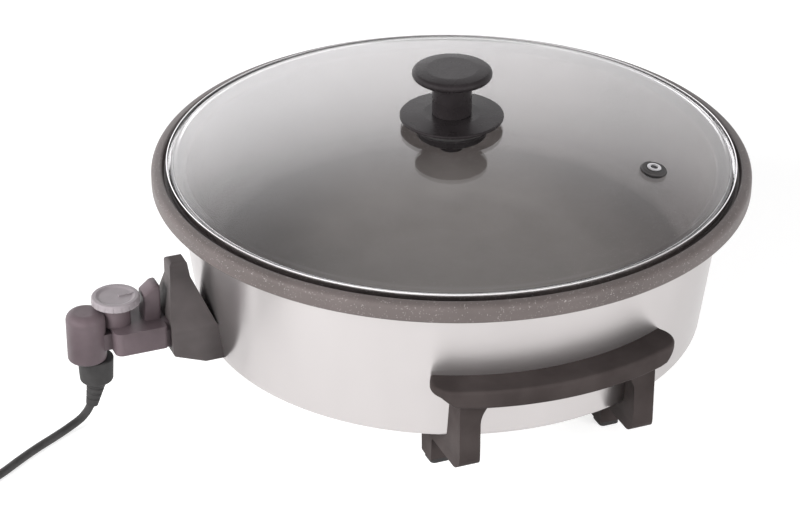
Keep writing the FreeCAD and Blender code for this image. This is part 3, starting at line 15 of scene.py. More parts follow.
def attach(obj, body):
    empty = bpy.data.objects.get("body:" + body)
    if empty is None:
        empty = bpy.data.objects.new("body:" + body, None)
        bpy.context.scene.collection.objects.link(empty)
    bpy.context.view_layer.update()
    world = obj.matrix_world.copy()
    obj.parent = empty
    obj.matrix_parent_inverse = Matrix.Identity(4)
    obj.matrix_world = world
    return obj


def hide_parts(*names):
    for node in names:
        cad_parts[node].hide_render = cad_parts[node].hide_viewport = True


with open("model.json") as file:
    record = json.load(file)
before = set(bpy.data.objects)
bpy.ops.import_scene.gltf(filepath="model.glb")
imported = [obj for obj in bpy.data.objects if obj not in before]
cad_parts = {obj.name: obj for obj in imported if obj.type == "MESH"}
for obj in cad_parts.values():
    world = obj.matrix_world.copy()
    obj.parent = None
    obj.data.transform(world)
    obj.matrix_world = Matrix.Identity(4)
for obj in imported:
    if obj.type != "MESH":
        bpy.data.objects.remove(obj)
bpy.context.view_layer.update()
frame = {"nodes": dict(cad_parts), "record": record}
nodes = frame["nodes"]
slots = {part["node"]: part["material_slot"] for part in frame["record"]["subparts"]}

# The photograph's camera
CAMERA_AT = Vector((1.5757, -0.6720, 1.0229))
CAMERA_AZIMUTH = 68.07
CAMERA_ELEVATION = 28.99
CAMERA_ROLL = 0.13
CAMERA_LENS = 126.29
CAMERA_SENSOR = 36.0

# The studio
ROOM_LIGHT = 0.30               # how strongly the room lights the object
ROOM_TINT = (1, 0.985, 1, 1)    # the room as the glass and the metal mirror it
ROOM_WALLS = (0.05, 0.30), (1.62, 2.15)     # brighter from the horizon up
ROOM_CEILING = (0.40, 0.76), (1.0, 0.17)    # and nearly dark overhead
ROOM_SIDES = (-0.25, 0.28), (1.12, 0.60)    # brighter on the left than on the right
ROOM_ACROSS = (0.375, 0.927, 0)             # from the left side to the right one
LAMPS_AIM = Vector((0, 0, 0.1))
KEY_LAMP = ("key", (0.4, -2.0, 0.95), 1.5, 1.3, 74)     # name, place, width, height, power
FILL_LAMP = ("fill", (1.8, 0.9, 0.6), 1.2, 1.0, 40)
FLOOR_HALF = 12.0
FLOOR_SHADE = 0.60
FLOOR_GLOW = 0.66               # added where the floor is seen, so that it shows white

# Ranges of a noise and of a share
NOISE = (0.3, 0.7)
SHARE = (0, 1)

MM = 1000.0                     # millimetres in a metre

# Turned pieces
ON_AXIS = 1e-6                  # an outline this near to the axis touches it, in millimetres
WELD = 1e-7                     # corners this near to each other are one, in metres
SHARP_EDGE = 32.0               # degrees from which an edge stays sharp

# Shell, in millimetres
SHELL_TOP_R = 187.7
SHELL_BOTTOM_R = 174.4
SHELL_TOP_Z = 139.8
SHELL_LOW_Z = 36.0
SHELL_THICK = 1.0
SHELL_LIP = 14.0
SHELL_BEND = 5.5
SHELL_EDGE = 0.3

# Pan with its rim, in millimetres
RIM_R = 205.0
RIM_UNDER = 140.0
RIM_LOW = 139.0
RIM_LIP_WALL = 3.5
RIM_CREST = 4.5
RIM_SHOULDER = 0.7 * RIM_CREST  # how high the rim's outer edge stands over the seat
RIM_CREST_FLAT = 1.2
SEAT_R = 196.5
SEAT_Z = 147.5
MOUTH_R = 180.0
BOWL_R = 169.0
BOWL_Z = 77.0
BOWL_WALL = 3.0
BOWL_BASE = 4.0
BOWL_BEND = 11.0

# Band and glass of the lid, in millimetres
BAND_R = 194.7
BAND_LOW = 147.8
BAND_HEIGHT = 6.8
BAND_THICK = 0.8
BAND_GAP = 0.2
BAND_TURN_UP = 4.0
GLASS_R = 193.7
GLASS_LOW = 148.75
GLASS_EDGE_Z = 153.5
GLASS_EDGE_BEND = 5.0
GLASS_THICK = 4.0
GLASS_BORE_R = 5.0
SHOULDER_R = 188.0
SHOULDER_Z = 156.0
SHOULDER_BEND = 9.0
APEX_Z = 178.5
DOME_R = (SHOULDER_R ** 2 + (APEX_Z - SHOULDER_Z) ** 2) / (2 * (APEX_Z - SHOULDER_Z))
DOME_STEPS = 40
DOME_END = SHOULDER_R - 2       # where the dome's arc stops, short of the shoulder's bend

# Vent, in millimetres square to the glass
VENT_AT_R = 142.0
VENT_ANGLE = 49.0
VENT_HOLE_R = 4.4
VENT_GAP = 0.12
RING_BORE_R = 3.25
RING_RISE = 1.8
RING_TOP_R = 8.0
RING_R = 10.0
RING_EDGE_Z = 0.15
RING_SEAT_R = 9.2
RING_UNDER_R = 7.0
RING_LOW_R = 6.4
RING_DROP = 1.6
EYELET_BORE_R = 2.5
EYELET_R = 3.2
EYELET_HEAD_R = 4.8
EYELET_RISE = 2.6
EYELET_HEAD_UNDER = 1.85
EYELET_DROP = 2.4

# Knob and its counterpart under the glass, in millimetres
KNOB_R = 27.3
KNOB_LOW = 185.5
KNOB_DISC_Z = 211.5
KNOB_DISC_THICK = 7.0
KNOB_EDGE_THICK = 6.2
KNOB_DISH = 10.0                # how far in from its edge the disc's top levels off
STEM_R = 13.5
STEM_END = KNOB_DISC_Z + 1      # inside the disc's underside, which slopes up to it
BOSS_R = 25.0
BOSS_TOP = 172.6
BOSS_THICK = 6.0
BOSS_TAPER = 1.5
BOSS_BORE_R = 2.7
BOSS_POCKET_R = 5.4
BOSS_POCKET_TOP = 9.0           # below the top of the boss, as the hub's end is
HUB_R = 9.0
HUB_TAPER = 0.5
HUB_DROP = 15.8

# Hood of the connector, in metres
HOOD_HALF = 0.0068
HOOD_FRONT = -0.2127
HOOD_END = -0.2243
HOOD_LOW = 0.0720
HOOD_TOP = 0.0985
HOOD_END_TOP = 0.0925
HOOD_CREST = 0.004
HOOD_EDGE = 0.0014

# Bar of the handles, in metres: which heights belong to it, and what is added to it
BAR_MIDDLE_Z = 0.080
BAR_FROM_Z = 0.070
BAR_TOP_RISE = 0.002
BAR_UNDER_DROP = 0.001
BAR_END_RISE = 0.0055
LEG_OUTER_Y = 0.074
LEG_TO_END = 0.008
LEG_STRETCH_Z = 0.045           # the legs follow the bar's underside from here up
LEG_STRETCH = 0.025

# The cord, with the sizes of its CAD solids
CORD_R = 0.00285
FLOOR_GAP = 0.00005
CORD_Z = CORD_R + FLOOR_GAP
RELIEF_START = Vector((0, -0.258, 0.032))
RELIEF_LEAN = 13.0
RELIEF_TIP_Z = 0.013
IN_RELIEF = 0.0085              # how far up inside the sleeve the cord starts
BELOW_RELIEF = 0.0055
FLOOR_BENDS = ((0.010, -0.021), (0.027, -0.050))    # on the table, from below the sleeve
COIL_AT = Vector((0.030, -0.402, 0))
COIL_INNER_R = 0.029
COIL_PITCH = 0.0072
COIL_LOW_TURNS = 1.5
COIL_CLIMB_TURNS = 0.5
COIL_HIGH_TURNS = 2.0
COIL_TURNS = COIL_LOW_TURNS + COIL_CLIMB_TURNS + COIL_HIGH_TURNS
COIL_CLIMB = 2 * CORD_R + 0.0007
COIL_ENTRY = 20.0
COIL_STEPS = 16
COIL_RUN_IN = 0.038
COIL_RUN_OUT = 0.008
COIL_LANDING = 0.034
PLUG_AT = Vector((0.108, -0.484, 0))
PLUG_HEADING = 262.0
PLUG_R = 0.0185
PLUG_TAIL_R = 0.0095
PLUG_LENGTH = 0.042
PLUG_COLLAR = 0.014
PLUG_TAIL = 0.006
IN_PLUG = 0.008


# Parts of the materials

def new_material(name):
    """A material with nothing but its surface shader."""
    material = bpy.data.materials.new(name)
    material.use_nodes = True
    tree = material.node_tree
    tree.nodes.clear()
    output = tree.nodes.new("ShaderNodeOutputMaterial")
    shader = tree.nodes.new("ShaderNodeBsdfPrincipled")
    tree.links.new(shader.outputs[0], output.inputs[0])
    return material, tree, shader


def arithmetic(tree, operation, first, second):
    """One step of arithmetic on two values, each of them a socket or a number."""
    step = tree.nodes.new("ShaderNodeMath")
    step.operation = operation
    for socket, value in zip(step.inputs, (first, second)):
        if isinstance(value, bpy.types.NodeSocket):
            tree.links.new(value, socket)
        else:
            socket.default_value = value
    return step.outputs[0]


def vector_step(tree, operation, vector, other=None):
    """A step on a vector, with another one where the operation takes two."""
    step = tree.nodes.new("ShaderNodeVectorMath")
    step.operation = operation
    tree.links.new(vector, step.inputs[0])
    if isinstance(other, bpy.types.NodeSocket):
        tree.links.new(other, step.inputs[1])
    elif other is not None:
        step.inputs[1].default_value = other
    return step


def place_on(tree):
    """The place on the object in metres."""
    return tree.nodes.new("ShaderNodeTexCoord").outputs["Object"]


def from_axis(tree):
    """How far a place is from the pan's axis, and its direction from there."""
    flat = vector_step(tree, "MULTIPLY", place_on(tree), (1, 1, 0)).outputs[0]
    return (vector_step(tree, "LENGTH", flat).outputs["Value"],
            vector_step(tree, "NORMALIZE", flat).outputs[0])


def around_axis(tree, round_scale, out_scale, up_scale):
    """A place as its direction from the pan's axis, with its distance and height as one."""
    distance, direction = from_axis(tree)
    split = tree.nodes.new("ShaderNodeSeparateXYZ")
    tree.links.new(place_on(tree), split.inputs[0])
    up = arithmetic(tree, "MULTIPLY", split.outputs["Z"], up_scale)
    out = arithmetic(tree, "MULTIPLY", distance, out_scale)
    upright = tree.nodes.new("ShaderNodeCombineXYZ")
    tree.links.new(arithmetic(tree, "ADD", up, out), upright.inputs["Z"])
    level = vector_step(tree, "MULTIPLY", direction, (round_scale, round_scale, 0))
    return vector_step(tree, "ADD", level.outputs[0], upright.outputs[0]).outputs[0]


def noise(tree, place, scale, detail):
    """Clouded noise with that many clouds to the metre."""
    texture = tree.nodes.new("ShaderNodeTexNoise")
    texture.inputs["Scale"].default_value = scale
    texture.inputs["Detail"].default_value = detail
    tree.links.new(place, texture.inputs["Vector"])
    return texture.outputs["Fac"]


def spread(tree, value, old, new):
    """Stretches a value from its range to another one."""
    remap = tree.nodes.new("ShaderNodeMapRange")
    for name, number in zip(("From Min", "From Max", "To Min", "To Max"), (*old, *new)):
        remap.inputs[name].default_value = number
    tree.links.new(value, remap.inputs["Value"])
    return remap.outputs["Result"]


def between(tree, share, first, second):
    """A colour between two, by a share from 0 to 1."""
    mix = tree.nodes.new("ShaderNodeMix")
    mix.data_type = "RGBA"
    tree.links.new(share, mix.inputs["Factor"])
    for socket, colour in ((mix.inputs[6], first), (mix.inputs[7], second)):
        if isinstance(colour, bpy.types.NodeSocket):
            tree.links.new(colour, socket)
        else:
            socket.default_value = (*colour, 1)
    return mix.outputs[2]


def bumps(tree, shader, height, metres, strength):
    """Makes the surface look raised by a height from 0 to 1, up to so many metres."""
    bump = tree.nodes.new("ShaderNodeBump")
    bump.inputs["Distance"].default_value = metres
    bump.inputs["Strength"].default_value = strength
    tree.links.new(height, bump.inputs["Height"])
    tree.links.new(bump.outputs[0], shader.inputs["Normal"])


def shade(colour, factor, lift=0.0):
    """A colour made paler or darker."""
    return tuple(part * factor + lift for part in colour)


def seen_rays(tree):
    """1 for camera, mirror and glass rays, 0 for the rays that light surfaces."""
    path = tree.nodes.new("ShaderNodeLightPath")
    mirrored = arithmetic(tree, "MAXIMUM", path.outputs["Is Camera Ray"],
                          path.outputs["Is Glossy Ray"])
    return arithmetic(tree, "MAXIMUM", mirrored, path.outputs["Is Transmission Ray"])


# Camera, light and floor

def make_camera():
    """The camera that took the photograph."""
    data = bpy.data.cameras.new("camera")
    data.lens = CAMERA_LENS
    data.sensor_width = CAMERA_SENSOR
    data.clip_start = 0.05
    data.clip_end = 60
    camera = bpy.data.objects.new("camera", data)
    bpy.context.scene.collection.objects.link(camera)
    azimuth = math.radians(CAMERA_AZIMUTH)
    elevation = math.radians(CAMERA_ELEVATION)
    roll = math.radians(CAMERA_ROLL)
    back = Vector((math.sin(azimuth) * math.cos(elevation),
                   -math.cos(azimuth) * math.cos(elevation), math.sin(elevation)))
    level = Vector((math.cos(azimuth), math.sin(azimuth), 0))
    upright = back.cross(level)
    right = level * math.cos(roll) + upright * math.sin(roll)
    up = upright * math.cos(roll) - level * math.sin(roll)
    turn = Matrix((right, up, back)).transposed().to_4x4()
    camera.matrix_world = Matrix.Translation(CAMERA_AT) @ turn
    bpy.context.scene.camera = camera


def make_world():
    """An even room for light, and a graded one that only the camera and mirrors see."""
    world = bpy.data.worlds.new("studio")
    world.use_nodes = True
    tree = world.node_tree
    tree.nodes.clear()
    output = tree.nodes.new("ShaderNodeOutputWorld")
    mix = tree.nodes.new("ShaderNodeMixShader")
    lighting = tree.nodes.new("ShaderNodeBackground")
    lighting.inputs["Color"].default_value = (1, 1, 1, 1)
    lighting.inputs["Strength"].default_value = ROOM_LIGHT
    seen = tree.nodes.new("ShaderNodeBackground")
    seen.inputs["Color"].default_value = ROOM_TINT
    direction = tree.nodes.new("ShaderNodeTexCoord").outputs["Generated"]
    split = tree.nodes.new("ShaderNodeSeparateXYZ")
    tree.links.new(direction, split.inputs[0])
    walls = spread(tree, split.outputs["Z"], *ROOM_WALLS)
    ceiling = spread(tree, split.outputs["Z"], *ROOM_CEILING)
    ceiling.node.interpolation_type = "SMOOTHSTEP"
    across = vector_step(tree, "DOT_PRODUCT", direction, ROOM_ACROSS).outputs["Value"]
    sides = spread(tree, across, *ROOM_SIDES)
    upright = arithmetic(tree, "MULTIPLY", walls, ceiling)
    tree.links.new(arithmetic(tree, "MULTIPLY", upright, sides), seen.inputs["Strength"])
    tree.links.new(seen_rays(tree), mix.inputs[0])
    tree.links.new(lighting.outputs[0], mix.inputs[1])
    tree.links.new(seen.outputs[0], mix.inputs[2])
    tree.links.new(mix.outputs[0], output.inputs[0])
    bpy.context.scene.world = world


def area_light(name, place, width, height, power):
    """A soft lamp that mirrors don't show."""
    data = bpy.data.lights.new(name, "AREA")
    data.shape = "RECTANGLE"
    data.size = width
    data.size_y = height
    data.energy = power
    light = bpy.data.objects.new(name, data)
    bpy.context.scene.collection.objects.link(light)
    light.location = place
    light.rotation_euler = (Vector(place) - LAMPS_AIM).to_track_quat("Z", "Y").to_euler()
    light.visible_glossy = False
    light.visible_transmission = False


def make_floor():
    """The white table, without an edge in sight."""
    mesh = bpy.data.meshes.new("floor")
    corners = [(x * FLOOR_HALF, y * FLOOR_HALF, 0)
               for x, y in ((-1, -1), (1, -1), (1, 1), (-1, 1))]
    mesh.from_pydata(corners, [], [(0, 1, 2, 3)])
    floor = bpy.data.objects.new("floor", mesh)
    bpy.context.scene.collection.objects.link(floor)
    material, tree, shader = new_material("floor")
    shader.inputs["Base Color"].default_value = (FLOOR_SHADE, FLOOR_SHADE, FLOOR_SHADE, 1)
    shader.inputs["Roughness"].default_value = 0.9
    shader.inputs["Specular IOR Level"].default_value = 0.1
    shader.inputs["Emission Color"].default_value = (1, 1, 1, 1)
    glow = arithmetic(tree, "MULTIPLY", seen_rays(tree), FLOOR_GLOW)
    tree.links.new(glow, shader.inputs["Emission Strength"])
    mesh.materials.append(material)


# Materials

def moulded(name, colour, roughness, specular):
    """Moulded plastic: a fine spark-eroded grain, with paler rubbed patches."""
    material, tree, shader = new_material(name)
    place = place_on(tree)
    cloud = spread(tree, noise(tree, place, scale=38, detail=3), NOISE, SHARE)
    patches = between(tree, cloud, shade(colour, 0.86), shade(colour, 1.22, lift=0.004))
    tree.links.new(patches, shader.inputs["Base Color"])
    rubbed = noise(tree, place, scale=120, detail=4)
    rough = spread(tree, rubbed, NOISE, (roughness * 0.86, roughness * 1.14))
    tree.links.new(rough, shader.inputs["Roughness"])
    grain = noise(tree, place, scale=1 / 0.0007, detail=2)
    bumps(tree, shader, grain, metres=0.00003, strength=0.6)
    shader.inputs["Specular IOR Level"].default_value = specular
    return material


def sheet_metal(name, colour, roughness):
    """Bright sheet with fine lines that run round the pan's axis."""
    material, tree, shader = new_material(name)
    shader.inputs["Metallic"].default_value = 1.0
    place = around_axis(tree, round_scale=14, out_scale=900, up_scale=900)
    lines = noise(tree, place, scale=1, detail=4)
    streaks = between(tree, lines, shade(colour, 0.88), colour)
    tree.links.new(streaks, shader.inputs["Base Color"])
    rough = spread(tree, lines, NOISE, (roughness * 0.8, roughness * 1.25))
    tree.links.new(rough, shader.inputs["Roughness"])
    bumps(tree, shader, lines, metres=0.000008, strength=0.5)
    return material


def cast_metal(name, colour, roughness, pits=0.00008):
    """Cast metal with the fine pits of its mould."""
    material, tree, shader = new_material(name)
    shader.inputs["Metallic"].default_value = 1.0
    place = place_on(tree)
    cloud = noise(tree, place, scale=60, detail=5)
    clouded = between(tree, cloud, shade(colour, 0.78), colour)
    tree.links.new(clouded, shader.inputs["Base Color"])
    rough = spread(tree, cloud, NOISE, (roughness * 0.85, roughness * 1.15))
    tree.links.new(rough, shader.inputs["Roughness"])
    bumps(tree, shader, noise(tree, place, scale=900, detail=3), metres=pits, strength=0.7)
    return material


def non_stick():
    """Satin dark coating with fine pale flecks and a faint orange peel; painted light pales its
    middle.
    """
    material, tree, shader = new_material("non_stick")
    place = place_on(tree)
    cloud = spread(tree, noise(tree, place, scale=26, detail=4), NOISE, SHARE)
    # Painted light: the coating is painted paler in the middle, as the lit floor, and darker
    # out at the walls and rim, as their shade.
    edge = between(tree, cloud, (0.092, 0.078, 0.075), (0.116, 0.098, 0.095))
    middle = between(tree, cloud, (0.225, 0.200, 0.190), (0.275, 0.245, 0.235))
    out_of_painted_light = spread(tree, from_axis(tree)[0], (0.095, 0.172), SHARE)
    ground_with_painted_light = between(tree, out_of_painted_light, middle, edge)
    flecks = tree.nodes.new("ShaderNodeTexVoronoi")
    flecks.inputs["Scale"].default_value = 900
    tree.links.new(place, flecks.inputs["Vector"])
    near = spread(tree, flecks.outputs["Distance"], (0.16, 0.30), (1, 0))
    few = spread(tree, noise(tree, place, scale=420, detail=2), (0.50, 0.60), SHARE)
    flecked = arithmetic(tree, "MULTIPLY", near, few)
    tree.links.new(between(tree, flecked, ground_with_painted_light, (0.34, 0.315, 0.31)),
                   shader.inputs["Base Color"])
    tree.links.new(spread(tree, cloud, SHARE, (0.38, 0.46)), shader.inputs["Roughness"])
    shader.inputs["Specular IOR Level"].default_value = 0.25
    peel = noise(tree, place, scale=700, detail=3)
    bumps(tree, shader, peel, metres=0.00006, strength=0.5)
    return material


def enamel():
    """Pearl finish on steel brushed round the body. It mirrors the table and the handles,
    sharp along its lines and smeared across them.
    """
    material, tree, shader = new_material("shell_enamel")
    shader.inputs["Metallic"].default_value = 0.93
    shader.inputs["Anisotropic"].default_value = 0.85
    shader.inputs["Anisotropic Rotation"].default_value = 0.25
    round_axis = tree.nodes.new("ShaderNodeTangent")
    round_axis.direction_type = "RADIAL"
    round_axis.axis = "Z"
    tree.links.new(round_axis.outputs[0], shader.inputs["Tangent"])
    wide = around_axis(tree, round_scale=2, out_scale=0, up_scale=3)
    cloud = spread(tree, noise(tree, wide, scale=2, detail=2), NOISE, SHARE)
    tree.links.new(between(tree, cloud, (0.530, 0.503, 0.500), (0.552, 0.525, 0.522)),
                   shader.inputs["Base Color"])
    fine = around_axis(tree, round_scale=6, out_scale=0, up_scale=1600)
    lines = noise(tree, fine, scale=1, detail=3)
    tree.links.new(spread(tree, lines, NOISE, (0.28, 0.32)), shader.inputs["Roughness"])
    bumps(tree, shader, lines, metres=0.000004, strength=0.3)
    return material


def glass():
    """Clear tempered glass. Lamps shine through it, so that the pan under it is lit."""
    material, tree, shader = new_material("glass")
    output = next(node for node in tree.nodes if node.type == "OUTPUT_MATERIAL")
    shader.inputs["Base Color"].default_value = (0.97, 0.975, 0.975, 1)
    shader.inputs["Transmission Weight"].default_value = 1.0
    shader.inputs["IOR"].default_value = 1.50
    place = place_on(tree)
    touched = noise(tree, place, scale=30, detail=4)
    tree.links.new(spread(tree, touched, (0.35, 0.7), (0, 0.03)), shader.inputs["Roughness"])
    waves = noise(tree, place, scale=16, detail=2)
    bumps(tree, shader, waves, metres=0.0005, strength=0.10)
    clear = tree.nodes.new("ShaderNodeBsdfTransparent")
    clear.inputs["Color"].default_value = (0.93, 0.94, 0.94, 1)
    path = tree.nodes.new("ShaderNodeLightPath")
    lit_through = arithmetic(tree, "MAXIMUM", path.outputs["Is Shadow Ray"],
                             path.outputs["Is Diffuse Ray"])
    mix = tree.nodes.new("ShaderNodeMixShader")
    tree.links.new(lit_through, mix.inputs[0])
    tree.links.new(shader.outputs[0], mix.inputs[1])
    tree.links.new(clear.outputs[0], mix.inputs[2])
    tree.links.new(mix.outputs[0], output.inputs[0])
    return material


def rubber(name, colour, roughness=0.62):
    """Matt rubber with a dusty bloom."""
    material, tree, shader = new_material(name)
    place = place_on(tree)
    bloom = spread(tree, noise(tree, place, scale=90, detail=5), (0.35, 0.75), SHARE)
    dusty = between(tree, bloom, colour, shade(colour, 1.5, lift=0.012))
    tree.links.new(dusty, shader.inputs["Base Color"])
    rough = spread(tree, bloom, SHARE, (roughness, roughness + 0.14))
    tree.links.new(rough, shader.inputs["Roughness"])
    shader.inputs["Specular IOR Level"].default_value = 0.35
    grain = noise(tree, place, scale=1500, detail=2)
    bumps(tree, shader, grain, metres=0.00003, strength=0.6)
    return material


def ceramic():
    """Glazed white ceramic."""
    material, tree, shader = new_material("ceramic")
    place = place_on(tree)
    cloud = noise(tree, place, scale=140, detail=4)
    tree.links.new(between(tree, cloud, (0.78, 0.75, 0.68), (0.86, 0.84, 0.79)),
                   shader.inputs["Base Color"])
    shader.inputs["Roughness"].default_value = 0.28
    glaze = noise(tree, place, scale=600, detail=2)
    bumps(tree, shader, glaze, metres=0.00003, strength=0.5)
    return material


def lamp_lens():
    """The pilot lamp's red window."""
    material, tree, shader = new_material("lamp")
    cloud = noise(tree, place_on(tree), scale=300, detail=3)
    tree.links.new(between(tree, cloud, (0.42, 0.035, 0.02), (0.60, 0.06, 0.035)),
                   shader.inputs["Base Color"])
    shader.inputs["Roughness"].default_value = 0.18
    shader.inputs["Subsurface Weight"].default_value = 0.2
    shader.inputs["Subsurface Radius"].default_value = (0.002, 0.0005, 0.0003)
    shader.inputs["Coat Weight"].default_value = 0.6
    return material


def make_materials():
    """The finishes, by the names of the record's material slots."""
    return {
        "non_stick": non_stick(),
        "shell_enamel": enamel(),
        "base_metal": sheet_metal("base_metal", (0.62, 0.61, 0.60), 0.42),
        "aluminium": cast_metal("aluminium", (0.72, 0.72, 0.73), 0.40),
        "element_steel": cast_metal("element_steel", (0.24, 0.23, 0.22), 0.45, pits=0.00003),
        "bright_steel": cast_metal("bright_steel", (0.62, 0.62, 0.63), 0.28, pits=0.00002),
        "ceramic": ceramic(),
        "black_plastic": moulded("black_plastic", (0.043, 0.035, 0.034), 0.44, specular=0.02),
        "socket_plastic": moulded("socket_plastic", (0.080, 0.070, 0.070), 0.50, specular=0.12),
        "rubber": rubber("rubber", (0.022, 0.021, 0.021)),
        "glass": glass(),
        "polished_steel": sheet_metal("polished_steel", (0.80, 0.79, 0.79), 0.16),
        "silicone": rubber("silicone", (0.030, 0.028, 0.028), 0.5),
        "knob_plastic": moulded("knob_plastic", (0.019, 0.016, 0.017), 0.28, specular=0.12),
        "grey_plastic": moulded("grey_plastic", (0.088, 0.067, 0.074), 0.40, specular=0.25),
        "dial_plastic": moulded("dial_plastic", (0.22, 0.197, 0.208), 0.38, specular=0.3),
        "lamp": lamp_lens(),
        "brass": cast_metal("brass", (0.72, 0.56, 0.26), 0.25, pits=0.00001),
        "nickel": cast_metal("nickel", (0.70, 0.68, 0.64), 0.20, pits=0.00001),
        "cord": rubber("cord", (0.026, 0.025, 0.025), 0.5),
    }


def dress_nodes(looks):
    """Gives every CAD node the finish of its slot in the record, but the socket shroud a paler
    plastic.
    """
    for node, slot in slots.items():
        piece = nodes[node]
        piece.data.materials.clear()
        piece.data.materials.append(looks[slot])
    nodes["socket_shroud"].data.materials[0] = looks["socket_plastic"]


# Outlines and turned pieces

def rounded(corners, closed=True, steps=6):
    """An outline of (r, z, rounding) corners with an arc at each rounded corner."""
    points = []
    count = len(corners)
    for i, (r, z, radius) in enumerate(corners):
        here = Vector((r, z))
        if radius <= 0 or (not closed and i in (0, count - 1)):
            points.append(here)
            continue
        back = (Vector(corners[i - 1][:2]) - here).normalized()
        ahead = (Vector(corners[(i + 1) % count][:2]) - here).normalized()
        half = back.angle(ahead) / 2
        centre = here + (back + ahead).normalized() * (radius / math.sin(half))
        start = here + back * (radius / math.tan(half)) - centre
        end = here + ahead * (radius / math.tan(half)) - centre
        sweep = start.angle_signed(end)
        for k in range(steps + 1):
            turn = Matrix.Rotation(-sweep * k / steps, 2)
            points.append(centre + turn @ start)
    return points


def turned(name, outline, steps=192):
    """A solid of revolution round the Z axis, from an outline in millimetres."""
    mesh = bpy.data.meshes.new(name)
    made = bmesh.new()
    angles = [2 * math.pi * j / steps for j in range(steps)]
    rings = []
    for point in outline:
        rings.append([made.verts.new((point.x * math.cos(angle) / MM,
                                      point.x * math.sin(angle) / MM, point.y / MM))
                      for angle in angles])
    for i, ring in enumerate(rings):
        after = (i + 1) % len(rings)
        following = rings[after]
        if max(outline[i].x, outline[after].x) < ON_AXIS:
            continue
        for j in range(steps):
            k = (j + 1) % steps
            made.faces.new((ring[j], ring[k], following[k], following[j]))
    bmesh.ops.remove_doubles(made, verts=made.verts, dist=WELD)
    bmesh.ops.recalc_face_normals(made, faces=made.faces)
    made.to_mesh(mesh)
    made.free()
    mesh.shade_smooth()
    mesh.set_sharp_from_angle(angle=math.radians(SHARP_EDGE))
    piece = bpy.data.objects.new(name, mesh)
    bpy.context.scene.collection.objects.link(piece)
    return piece


def stands_for(piece, node, body, material):
    """Gives a piece its finish and its body, and hides the CAD node under it."""
    piece.data.materials.append(material)
    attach(piece, body)
    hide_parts(node)


# Pan and shell

def make_pan(looks):
    """The pan with its rim: a dark lip stands up round the lid's seat."""
    outline = rounded([
        (0, BOWL_Z - BOWL_BASE, 0),
        (BOWL_R + BOWL_WALL, BOWL_Z - BOWL_BASE, BOWL_BEND + BOWL_WALL),
        (MOUTH_R + BOWL_WALL, RIM_UNDER, 1), (RIM_R - RIM_LIP_WALL, RIM_UNDER, 0.5),
        (RIM_R - RIM_LIP_WALL, RIM_LOW, 0.4), (RIM_R, RIM_LOW, 1.6),
        (RIM_R, SEAT_Z + RIM_SHOULDER, 4), (SEAT_R + RIM_CREST_FLAT, SEAT_Z + RIM_CREST, 1.6),
        (SEAT_R, SEAT_Z, 0.5), (MOUTH_R, SEAT_Z, 2.4),
        (BOWL_R, BOWL_Z, BOWL_BEND), (0, BOWL_Z, 0),
    ])
    stands_for(turned("pan", outline), "pan_bowl", "pan", looks["non_stick"])


def make_shell(looks):
    """The pressed shell, turned in under the body."""
    inner = SHELL_BOTTOM_R - SHELL_LIP
    inside_z = SHELL_LOW_Z + SHELL_THICK
    outline = rounded([
        (SHELL_TOP_R, SHELL_TOP_Z, SHELL_EDGE), (SHELL_BOTTOM_R, SHELL_LOW_Z, SHELL_BEND),
        (inner, SHELL_LOW_Z, SHELL_EDGE), (inner, inside_z, SHELL_EDGE),
        (SHELL_BOTTOM_R - SHELL_THICK, inside_z, SHELL_BEND - SHELL_THICK),
        (SHELL_TOP_R - SHELL_THICK, SHELL_TOP_Z, SHELL_EDGE),
    ])
    piece = turned("enamel_shell", outline, steps=256)
    stands_for(piece, "outer_shell", "pan", looks["shell_enamel"])


# Handles and hood

def shape_bar(point):
    """Makes a handle's bar 3 mm thicker between its legs, and thin at its two ends."""
    x, y, z = point
    past_leg = min(max((abs(y) - LEG_OUTER_Y) / LEG_TO_END, 0), 1)
    if z > BAR_MIDDLE_Z:
        z += BAR_TOP_RISE
    elif z > BAR_FROM_Z:
        z += BAR_END_RISE * past_leg - BAR_UNDER_DROP * (1 - past_leg)
    else:
        z -= BAR_UNDER_DROP * min(max((z - LEG_STRETCH_Z) / LEG_STRETCH, 0), 1)
    return Vector((x, y, z))


def make_handles(looks):
    """The two bar handles with their legs."""
    for side in ("right", "left"):
        solid = nodes["handle_" + side]
        mesh = solid.data.copy()
        mesh.transform(solid.matrix_world)
        for corner in mesh.vertices:
            corner.co = shape_bar(corner.co)
        mesh.materials.clear()
        piece = bpy.data.objects.new("carrying_handle_" + side, mesh)
        bpy.context.scene.collection.objects.link(piece)
        stands_for(piece, "handle_" + side, "pan", looks["black_plastic"])


def make_hood(looks):
    """The plug's raised hood between the socket and the dial."""
    mesh = bpy.data.meshes.new("plug_hood")
    made = bmesh.new()
    outline = ((HOOD_FRONT, HOOD_LOW), (HOOD_FRONT, HOOD_TOP),
               (HOOD_FRONT - HOOD_CREST, HOOD_TOP), (HOOD_END, HOOD_END_TOP),
               (HOOD_END, HOOD_LOW))
    left = [made.verts.new((-HOOD_HALF, y, z)) for y, z in outline]
    right = [made.verts.new((HOOD_HALF, y, z)) for y, z in outline]
    made.faces.new(left)
    made.faces.new(right[::-1])
    for i in range(len(outline)):
        k = (i + 1) % len(outline)
        made.faces.new((left[k], left[i], right[i], right[k]))
    bmesh.ops.recalc_face_normals(made, faces=made.faces)
    bmesh.ops.bevel(made, geom=made.edges[:], offset=HOOD_EDGE, segments=3, affect="EDGES",
                    profile=0.5)
    made.to_mesh(mesh)
    made.free()
    mesh.shade_smooth()
    mesh.materials.append(looks["grey_plastic"])
    hood = bpy.data.objects.new("plug_hood", mesh)
    bpy.context.scene.collection.objects.link(hood)
    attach(hood, "connector")


# Lid

def dome_z(r):
    """Height of the dome's outer face, at a distance from the axis."""
    return APEX_Z - DOME_R + math.sqrt(DOME_R ** 2 - r ** 2)


